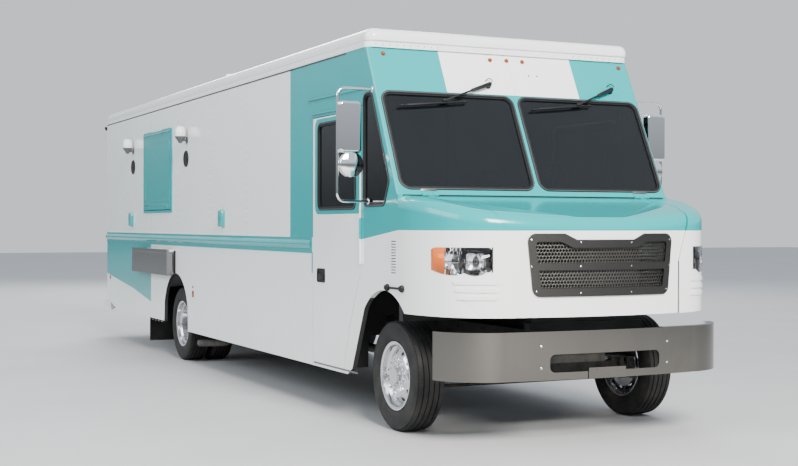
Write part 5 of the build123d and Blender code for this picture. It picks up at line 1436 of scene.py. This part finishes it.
class TRUCK_OT_side_fittings(bpy.types.Operator):
    """Replace the plain lamps, speakers, sockets and markers on the sides"""

    bl_idname = "truck.side_fittings"
    bl_label = "Side Fittings"

    def execute(self, context):
        globes, bases, discs, boxes = bmesh.new(), bmesh.new(), bmesh.new(), bmesh.new()
        for station in PORCH_LAMPS:
            foot = at(-1.297, station, 0)
            lathe(globes, GLOBE, foot, UP, 32)
            lathe(bases, GLOBE_CUP, foot, UP, 32)
            lathe(bases, WALL_ROSE, on_side(station, 2.515), -ACROSS, 24)
            rod(bases, on_side(station, 2.515), at(-1.285, station, 2.515), 0.012)
        for station in SPEAKERS:
            lathe(discs, SPEAKER, on_side(station, 2.308), -ACROSS, 40)
        for station in OUTLETS:
            block(boxes, (-1.246, station - 0.056, 1.547), (-1.2185, station + 0.056, 1.708), 0.005)
            block(boxes, (-1.259, station - 0.060, 1.543), (-1.244, station + 0.060, 1.712), 0.005)
            block(boxes, (-1.2585, station - 0.018, 1.552), (-1.2600, station + 0.018, 1.566), 0.0005)
            rod(boxes, at(-1.240, station - 0.045, 1.7125), at(-1.240, station + 0.045, 1.7125), 0.005)
        add_piece("porch_globes", globes, "globe", stands_for=("side_fittings",))
        add_piece("porch_lamp_bases", bases, "grey")
        add_piece("round_speakers", discs, "black")
        add_piece("outlet_covers", boxes, "teal")

        corner = bmesh.new()
        block(corner, (-1.239, 10.125, 2.905), (-1.129, 10.205, 2.935), 0.006)
        block(corner, (-1.200, 10.1245, 2.860), (-1.165, 10.150, 2.940), 0.004)
        block(corner, (-1.229, 10.140, 2.886), (-1.139, 10.215, 2.908), 0.005)
        add_piece("corner_lamp", corner, "black")

        stay = bmesh.new()
        block(stay, (-1.240, 6.612, 1.000), (-1.2185, 6.618, 1.262), 0.002)
        block(stay, (-1.224, 6.600, 1.000), (-1.2185, 6.618, 1.262), 0.002)
        add_piece("shelf_stay", stay, "black")

        def dots(bm):
            lathe(bm, [(0.0, 0.012), (0.006, 0.011), (0.009, 0.0)], on_side(5.891, 0.872), -ACROSS, 16)

        def markers(bm):
            plate(bm, outline(oblong((5.862, 0.758), (5.898, 0.832)), 0.017), SIDE, 0.0, 0.012, 0.003)
            plate(bm, outline(oblong((9.905, 0.808), (9.933, 0.860)), 0.013), SIDE, 0.0, 0.010, 0.003)

        add_on_both("side_dots", dots, "black")
        add_on_both("side_markers", markers, "dark_amber")
        return {"FINISHED"}


class TRUCK_OT_hatch(bpy.types.Operator):
    """Press the inner panel into the serving hatch and edge the shelf"""

    bl_idname = "truck.hatch"
    bl_label = "Hatch and Shelf"

    def execute(self, context):
        face = side_plane(touch("serving_hatch", (-3.0, 7.4, 2.2), ACROSS)[0].x)
        bm = bmesh.new()
        rim(bm, outline(oblong((6.822, 1.850), (7.953, 2.560)), 0.012), face, 0.009, 0.0, 0.0045, 0.001)
        block(bm, (6.790, 1.796, 0.0), (7.985, 1.806, 0.0035), 0.001, face)
        for station in (6.90, 7.875):
            block(bm, (station - 0.02, 1.765, 0.0), (station + 0.02, 1.783, 0.008), 0.002, face)
        add_piece("hatch_panel_edge", bm, "teal", "hatch_body")

        face = side_plane(touch("serving_shelf", (-3.0, 7.4, 1.10), ACROSS)[0].x)
        bm = bmesh.new()
        shelf = oblong((6.6425, 0.9745), (8.2975, 1.2400))
        rim(bm, outline(shelf, 0.003), face, 0.012, -0.0005, 0.0022, 0.0008)
        add_piece("shelf_edge", bm, "stainless", "shelf_body")
        return {"FINISHED"}


TAIL_LENS = [(0.002, 0.0), (0.002, 0.047), (0.018, 0.046), (0.025, 0.036), (0.0275, 0.0)]
TAIL_RING = [(0.0, 0.055), (0.006, 0.0545), (0.010, 0.050), (0.006, 0.0475), (0.0, 0.0475)]


class TRUCK_OT_tail(bpy.types.Operator):
    """Fit the tail lamps, rear door handle and marker lamps"""

    bl_idname = "truck.tail"
    bl_label = "Tail"

    def execute(self, context):
        lenses, rings, markers = bmesh.new(), bmesh.new(), bmesh.new()
        for x in (-0.960, 0.960):
            for z in (1.180, 1.340):
                lathe(lenses, TAIL_LENS, at(x, BODY_REAR, z), BACK, 32)
                lathe(rings, TAIL_RING, at(x, BODY_REAR, z), BACK, 32, closed=True)
        for x in (-1.05, -0.15, 0.0, 0.15, 1.05):
            marker_lamp(markers, at(x, BODY_REAR, 2.885), BACK)
        add_piece("tail_lenses", lenses, "red", stands_for=("tail_lamps",))
        add_piece("tail_lamp_rings", rings, "rubber")
        add_piece("rear_marker_lamps", markers, "red")

        spot, _ = touch("rear_door_right", (-0.10, 14.0, 1.50), -BACK)
        face = rear_plane(Vector((0, spot.y, 0)))
        bm = bmesh.new()
        rim(bm, outline(oblong((-0.150, 1.440), (-0.050, 1.560)), 0.010), face, 0.010, 0.0, 0.0055, 0.002)
        block(bm, (-0.142, 1.448, 0.0002), (-0.058, 1.552, 0.0015), 0.0, face)
        block(bm, (-0.134, 1.480, 0.001), (-0.066, 1.512, 0.012), 0.004, face)
        add_piece("rear_door_handle", bm, "stainless", REAR_DOORS[0])
        return {"FINISHED"}


TANK = oblong((0.431, 0.439), (1.111, 0.771))   # the fuel tank's section from the front
TANK_MIDDLE = 0.770


class TRUCK_OT_underbody(bpy.types.Operator):
    """Bolt the frame rails and strap the tank"""

    bl_idname = "truck.underbody"
    bl_label = "Underbody"

    def execute(self, context):
        def bolts(bm):
            spots = [at(-0.432, 0.30 + i * 0.40, z) for i in range(24) for z in (0.625, 0.755)]
            stamp(bm, hex_head, [scaled(facing(spot, -ACROSS), 0.010) for spot in spots])

        add_on_both("frame_bolts", bolts, "cast")

        bm = bmesh.new()
        for station in (3.22, 3.84):
            rim(bm, outline(TANK, 0.040, 0.002), front_plane(station), 0.004, -0.020, 0.040)
            rod(bm, at(TANK_MIDDLE - 0.012, station, 0.4375), at(TANK_MIDDLE + 0.012, station, 0.4375), 0.007)
        add_piece("tank_straps", bm, "stainless")
        return {"FINISHED"}


# Cab inside

DIALS = ((0.48, 0.045, 130), (0.60, 0.052, 40), (0.72, 0.045, 40))     # x, radius, the needle's angle
VENTS = (-0.95, -0.45, -0.05, 0.25, 0.98)
DIAL_FOOT, DIAL_TOP = 0.001, 0.012


class TRUCK_OT_cab_inside(bpy.types.Operator):
    """Fit the instruments, vents and switches"""

    bl_idname = "truck.cab_inside"
    bl_label = "Cab Inside"

    def execute(self, context):
        def on_dashboard(x, z):
            return touch("dashboard", (x, 2.4, z), -BACK)[0]

        black, bright, marks = bmesh.new(), bmesh.new(), bmesh.new()
        for x, radius, angle in DIALS:
            spot = on_dashboard(x, 1.80)
            lathe(black, [(0.0, radius + 0.008), (DIAL_TOP, radius + 0.006), (DIAL_TOP, radius),
                          (DIAL_FOOT, radius - 0.001), (DIAL_FOOT, 0.0)], spot, BACK, 32)
            lathe(bright, [(DIAL_TOP, radius + 0.006), (DIAL_TOP + 0.002, radius + 0.003), (DIAL_TOP, radius)],
                  spot, BACK, 32, closed=True)
            lathe(marks, [(0.006, 0.007), (0.008, 0.006), (0.008, 0.0)], spot, BACK, 12)
            needle = facing(spot + BACK * 0.006, BACK) @ Matrix.Rotation(radians(angle), 4, "Z")
            block(marks, (-0.001, 0.0, 0.0), (0.001, radius * 0.8, 0.001), 0.0, needle)
            for i in range(9):
                tick = facing(spot + BACK * 0.0015, BACK) @ Matrix.Rotation(radians(-120 + 30 * i), 4, "Z")
                block(marks, (-0.0012, radius * 0.80, 0.0), (0.0012, radius * 0.94, 0.001), 0.0, tick)
        for x in VENTS:
            face = rear_plane(on_dashboard(x, 1.80))
            rim(black, outline(oblong((-0.060, -0.032), (0.060, 0.032)), 0.010), face, 0.008, 0.0, 0.008, 0.002)
            for i in range(5):
                block(black, (-0.052, -0.022 + i * 0.011, 0.0), (0.052, -0.019 + i * 0.011, 0.006), 0.0, face)
        for i in range(5):
            face = rear_plane(on_dashboard(0.02 + i * 0.035, 1.68))
            block(black, (-0.013, -0.019, -0.001), (0.013, 0.019, 0.005), 0.002, face)
        add_piece("dials_and_vents", black, "black")
        add_piece("dial_rings", bright, "chrome")
        add_piece("dial_marks", marks, "globe")
        return {"FINISHED"}


# Each cushion's section as (station, z), and the x of its two ends
PADS = {
    "seat_pad": (((1.752, 1.3075), (2.178, 1.3075), (2.178, 1.388), (1.752, 1.404)), 0.375, 0.825),
    "backrest_pad": (((2.134, 1.442), (2.216, 1.442), (2.318, 2.046), (2.250, 2.062)), 0.385, 0.815),
}
PAD_SEAM = 0.028                # from a cushion's end to its piping
PAD_SWELL = 0.010               # the furthest that a point of a cushion may move


def loop_round(mesh, cut):
    """Points of the closed line where a mesh crosses a plane of constant x, in order."""
    bm = bmesh.new()
    bm.from_mesh(mesh)
    found = bmesh.ops.bisect_plane(bm, geom=bm.verts[:] + bm.edges[:] + bm.faces[:], plane_co=(cut, 0, 0),
                                   plane_no=(1, 0, 0), clear_inner=True, clear_outer=True)["geom_cut"]
    here = new_verts(found)[0]
    points, edge = [here.co.copy()], None
    while True:
        edge = next((e for e in here.link_edges if e is not edge), None)
        if edge is None:
            break
        here = edge.other_vert(here)
        if (here.co - points[0]).length < 1e-6:
            break
        points.append(here.co.copy())
    bm.free()
    return points[::3]


class TRUCK_OT_cushions(bpy.types.Operator):
    """Blow up the seat's two cushions by a cloth simulation and pipe their seams"""

    bl_idname = "truck.cushions"
    bl_label = "Seat Cushions"

    def execute(self, context):
        piping = bmesh.new()
        for name, (section, near, far) in PADS.items():
            bm = bmesh.new()
            face = bm.faces.new([bm.verts.new(at(near, station, z)) for station, z in section])
            grown = bmesh.ops.extrude_face_region(bm, geom=[face], use_keep_orig=True)["geom"]
            bmesh.ops.translate(bm, vec=ACROSS * (far - near), verts=new_verts(grown))
            bmesh.ops.bevel(bm, geom=bm.edges[:], affect="EDGES", offset=0.016, segments=3, profile=0.5,
                            material=-1)
            stands_for = ("seat_cushions",) if name == "seat_pad" else ()
            pad = add_piece(name, bm, "cloth", stands_for=stands_for, sharp=180.0)
            self.blow_up(context, pad)
            for cut in (near + PAD_SEAM, far - PAD_SEAM):
                tube(piping, loop_round(pad.data, cut), 0.0035, cyclic=True, sides=1, poly=True)
            smooth = pad.modifiers.new("smooth", "SUBSURF")
            smooth.levels = smooth.render_levels = 1
        add_piece("seat_piping", piping, "black")
        return {"FINISHED"}

    def blow_up(self, context, pad):
        """Remesh a pad evenly, let cloth under pressure swell it, and keep the result."""
        remesh = pad.modifiers.new("even", "REMESH")
        remesh.mode = "VOXEL"
        remesh.voxel_size = 0.006
        self.apply(context, pad)
        start = [v.co.copy() for v in pad.data.vertices]
        swell = pad.modifiers.new("swell", "CLOTH")
        swell.settings.use_pressure = True
        swell.settings.uniform_pressure_force = 4.0
        swell.settings.effector_weights.gravity = 0.0
        swell.settings.quality = 5
        for step in range(1, 21):
            context.scene.frame_set(step)
        self.apply(context, pad)
        context.scene.frame_set(1)
        for vert, place in zip(pad.data.vertices, start):
            moved = vert.co - place
            if moved.length > PAD_SWELL:
                vert.co = place + moved.normalized() * PAD_SWELL
        pad.data.shade_smooth()

    def apply(self, context, pad):
        """Put the modifiers' result in the mesh."""
        shown = pad.evaluated_get(context.evaluated_depsgraph_get())
        mesh = bpy.data.meshes.new_from_object(shown)
        pad.modifiers.clear()
        pad.data = mesh
        if not mesh.materials:
            mesh.materials.append(FINISH["cloth"])


# Stage

# The camera solved from the photograph: heading to the truck's left of ahead, tilt up and roll in
# degrees, place as (x, station, z), and lens for a 36 mm sensor
CAMERA_TURNS = (25.294, -0.3647, 0.0895)
CAMERA_PLACE = (-5.3352, -8.1713, 1.5673)
CAMERA_LENS = 58.80
# Each light's place, aim, size, share of the key light's power, and colour
LIGHTS = {
    "key": ((-2.5, -18.5, 11.0), (0, -3, 1.2), (6, 6), 1.0, (1.0, 0.97, 0.93)),
    "fill": ((-15.0, -2.0, 9.0), (0, 0, 1.5), (14, 8), 0.22, (0.93, 0.97, 1.0)),
    "back": ((6.0, 17.0, 10.0), (0, 4, 1.5), (10, 8), 0.30, (0.97, 0.98, 1.0)),
}


class TRUCK_OT_stage(bpy.types.Operator):
    """Lay the floor and set the lights and the camera"""

    bl_idname = "truck.stage"
    bl_label = "Floor, Light and Camera"

    def execute(self, context):
        self.lay_floor(context)
        self.set_sky(context)
        for name, values in LIGHTS.items():
            self.set_light(context, name, *values)
        self.set_camera(context)
        return {"FINISHED"}

    def lay_floor(self, context):
        """Large plain floor with slight clouds of tone."""
        bm = bmesh.new()
        bmesh.ops.create_grid(bm, x_segments=1, y_segments=1, size=60)
        mesh = bpy.data.meshes.new("floor")
        bm.to_mesh(mesh)
        bm.free()
        floor = bpy.data.objects.new("floor", mesh)
        context.scene.collection.objects.link(floor)
        material, t, place, shader = new_material("Floor")
        tone = t.ramp(t.noise(place, 0.8, 4.0), 0.3, 0.7, 0.96, 1.03)
        t.set(shader.inputs["Base Color"], t.shade(context.scene.truck_stage.floor, tone))
        shader.inputs["Roughness"].default_value = 0.7
        mesh.materials.append(material)

    def set_sky(self, context):
        """Soft light from a grey horizon up to a pale blue, seen plainly pale by the camera."""
        world = bpy.data.worlds.new("Studio")
        context.scene.world = world
        world.use_nodes = True
        t = Tree(world.node_tree)
        height = t.axes(t.add("ShaderNodeTexCoord").outputs["Generated"])["Z"]
        sky = t.mix(t.ramp(height, 0.02, 0.16), (0.20, 0.21, 0.22, 1), (0.78, 0.86, 0.96, 1))
        seen = t.mix(t.add("ShaderNodeLightPath").outputs["Is Camera Ray"], sky, (0.80, 0.83, 0.86, 1))
        back = t.add("ShaderNodeBackground", {"Color": seen, "Strength": context.scene.truck_stage.sky})
        out = t.add("ShaderNodeOutputWorld")
        t.tree.links.new(back.outputs["Background"], out.inputs["Surface"])

    def set_light(self, context, name, place, aim, size, share, colour):
        """Large soft light aimed at a point."""
        data = bpy.data.lights.new(name, "AREA")
        data.shape = "RECTANGLE"
        data.size, data.size_y = size
        data.energy = context.scene.truck_stage.key * share
        data.color = colour
        lamp = bpy.data.objects.new(name, data)
        lamp.location = place
        lamp.rotation_euler = (Vector(aim) - Vector(place)).to_track_quat("-Z", "Y").to_euler()
        context.scene.collection.objects.link(lamp)

    def set_camera(self, context):
        """The photograph's view."""
        yaw, pitch, roll = (radians(turn) for turn in CAMERA_TURNS)
        ahead = Vector((sin(yaw) * cos(pitch), cos(yaw) * cos(pitch), sin(pitch)))
        right = Vector((cos(yaw), -sin(yaw), 0))
        up = right.cross(ahead)
        right, up = right * cos(roll) + up * sin(roll), up * cos(roll) - right * sin(roll)
        turn = Matrix((right, up, -ahead)).transposed()
        data = bpy.data.cameras.new("camera")
        data.sensor_width = 36.0
        data.lens = CAMERA_LENS
        data.clip_end = 200.0
        camera = bpy.data.objects.new("camera", data)
        context.scene.collection.objects.link(camera)
        camera.matrix_world = Matrix.Translation(at(*CAMERA_PLACE)) @ turn.to_4x4()
        context.scene.camera = camera


OPERATORS = (TRUCK_OT_finishes, TRUCK_OT_glazing, TRUCK_OT_grille, TRUCK_OT_headlights, TRUCK_OT_nose_fittings,
             TRUCK_OT_wipers, TRUCK_OT_cab_trim, TRUCK_OT_rivets, TRUCK_OT_header, TRUCK_OT_bumpers,
             TRUCK_OT_wheels, TRUCK_OT_mirrors, TRUCK_OT_side_fittings, TRUCK_OT_hatch, TRUCK_OT_tail,
             TRUCK_OT_underbody, TRUCK_OT_cab_inside, TRUCK_OT_cushions, TRUCK_OT_stage)
SETTINGS = {"truck_paint": PaintSettings, "truck_trim": TrimSettings, "truck_wheels": WheelSettings,
            "truck_stage": StageSettings}


class TRUCK_PT_panel(bpy.types.Panel):
    """Settings and steps that dress the truck, in the order they are run"""

    bl_label = "Food Truck"
    bl_idname = "TRUCK_PT_panel"
    bl_space_type = "VIEW_3D"
    bl_region_type = "UI"
    bl_category = "Truck"

    def draw(self, context):
        for name, kind in SETTINGS.items():
            box = self.layout.box()
            box.label(text=kind.__doc__.rstrip("."))
            for key in kind.__annotations__:
                box.prop(getattr(context.scene, name), key)
        for operator in OPERATORS:
            self.layout.operator(operator.bl_idname)


def register():
    """Register every class and hang the settings on the scene."""
    for kind in (*SETTINGS.values(), *OPERATORS, TRUCK_PT_panel):
        bpy.utils.register_class(kind)
    for name, kind in SETTINGS.items():
        setattr(bpy.types.Scene, name, PointerProperty(type=kind))


def unregister():
    """Undo register."""
    for name in SETTINGS:
        delattr(bpy.types.Scene, name)
    for kind in (TRUCK_PT_panel, *reversed(OPERATORS), *SETTINGS.values()):
        bpy.utils.unregister_class(kind)


def main():
    """Dress the truck by running every step in turn."""
    register()
    for operator in OPERATORS:
        group, name = operator.bl_idname.split(".")
        getattr(getattr(bpy.ops, group), name)()


if __name__ == "__main__":
    main()
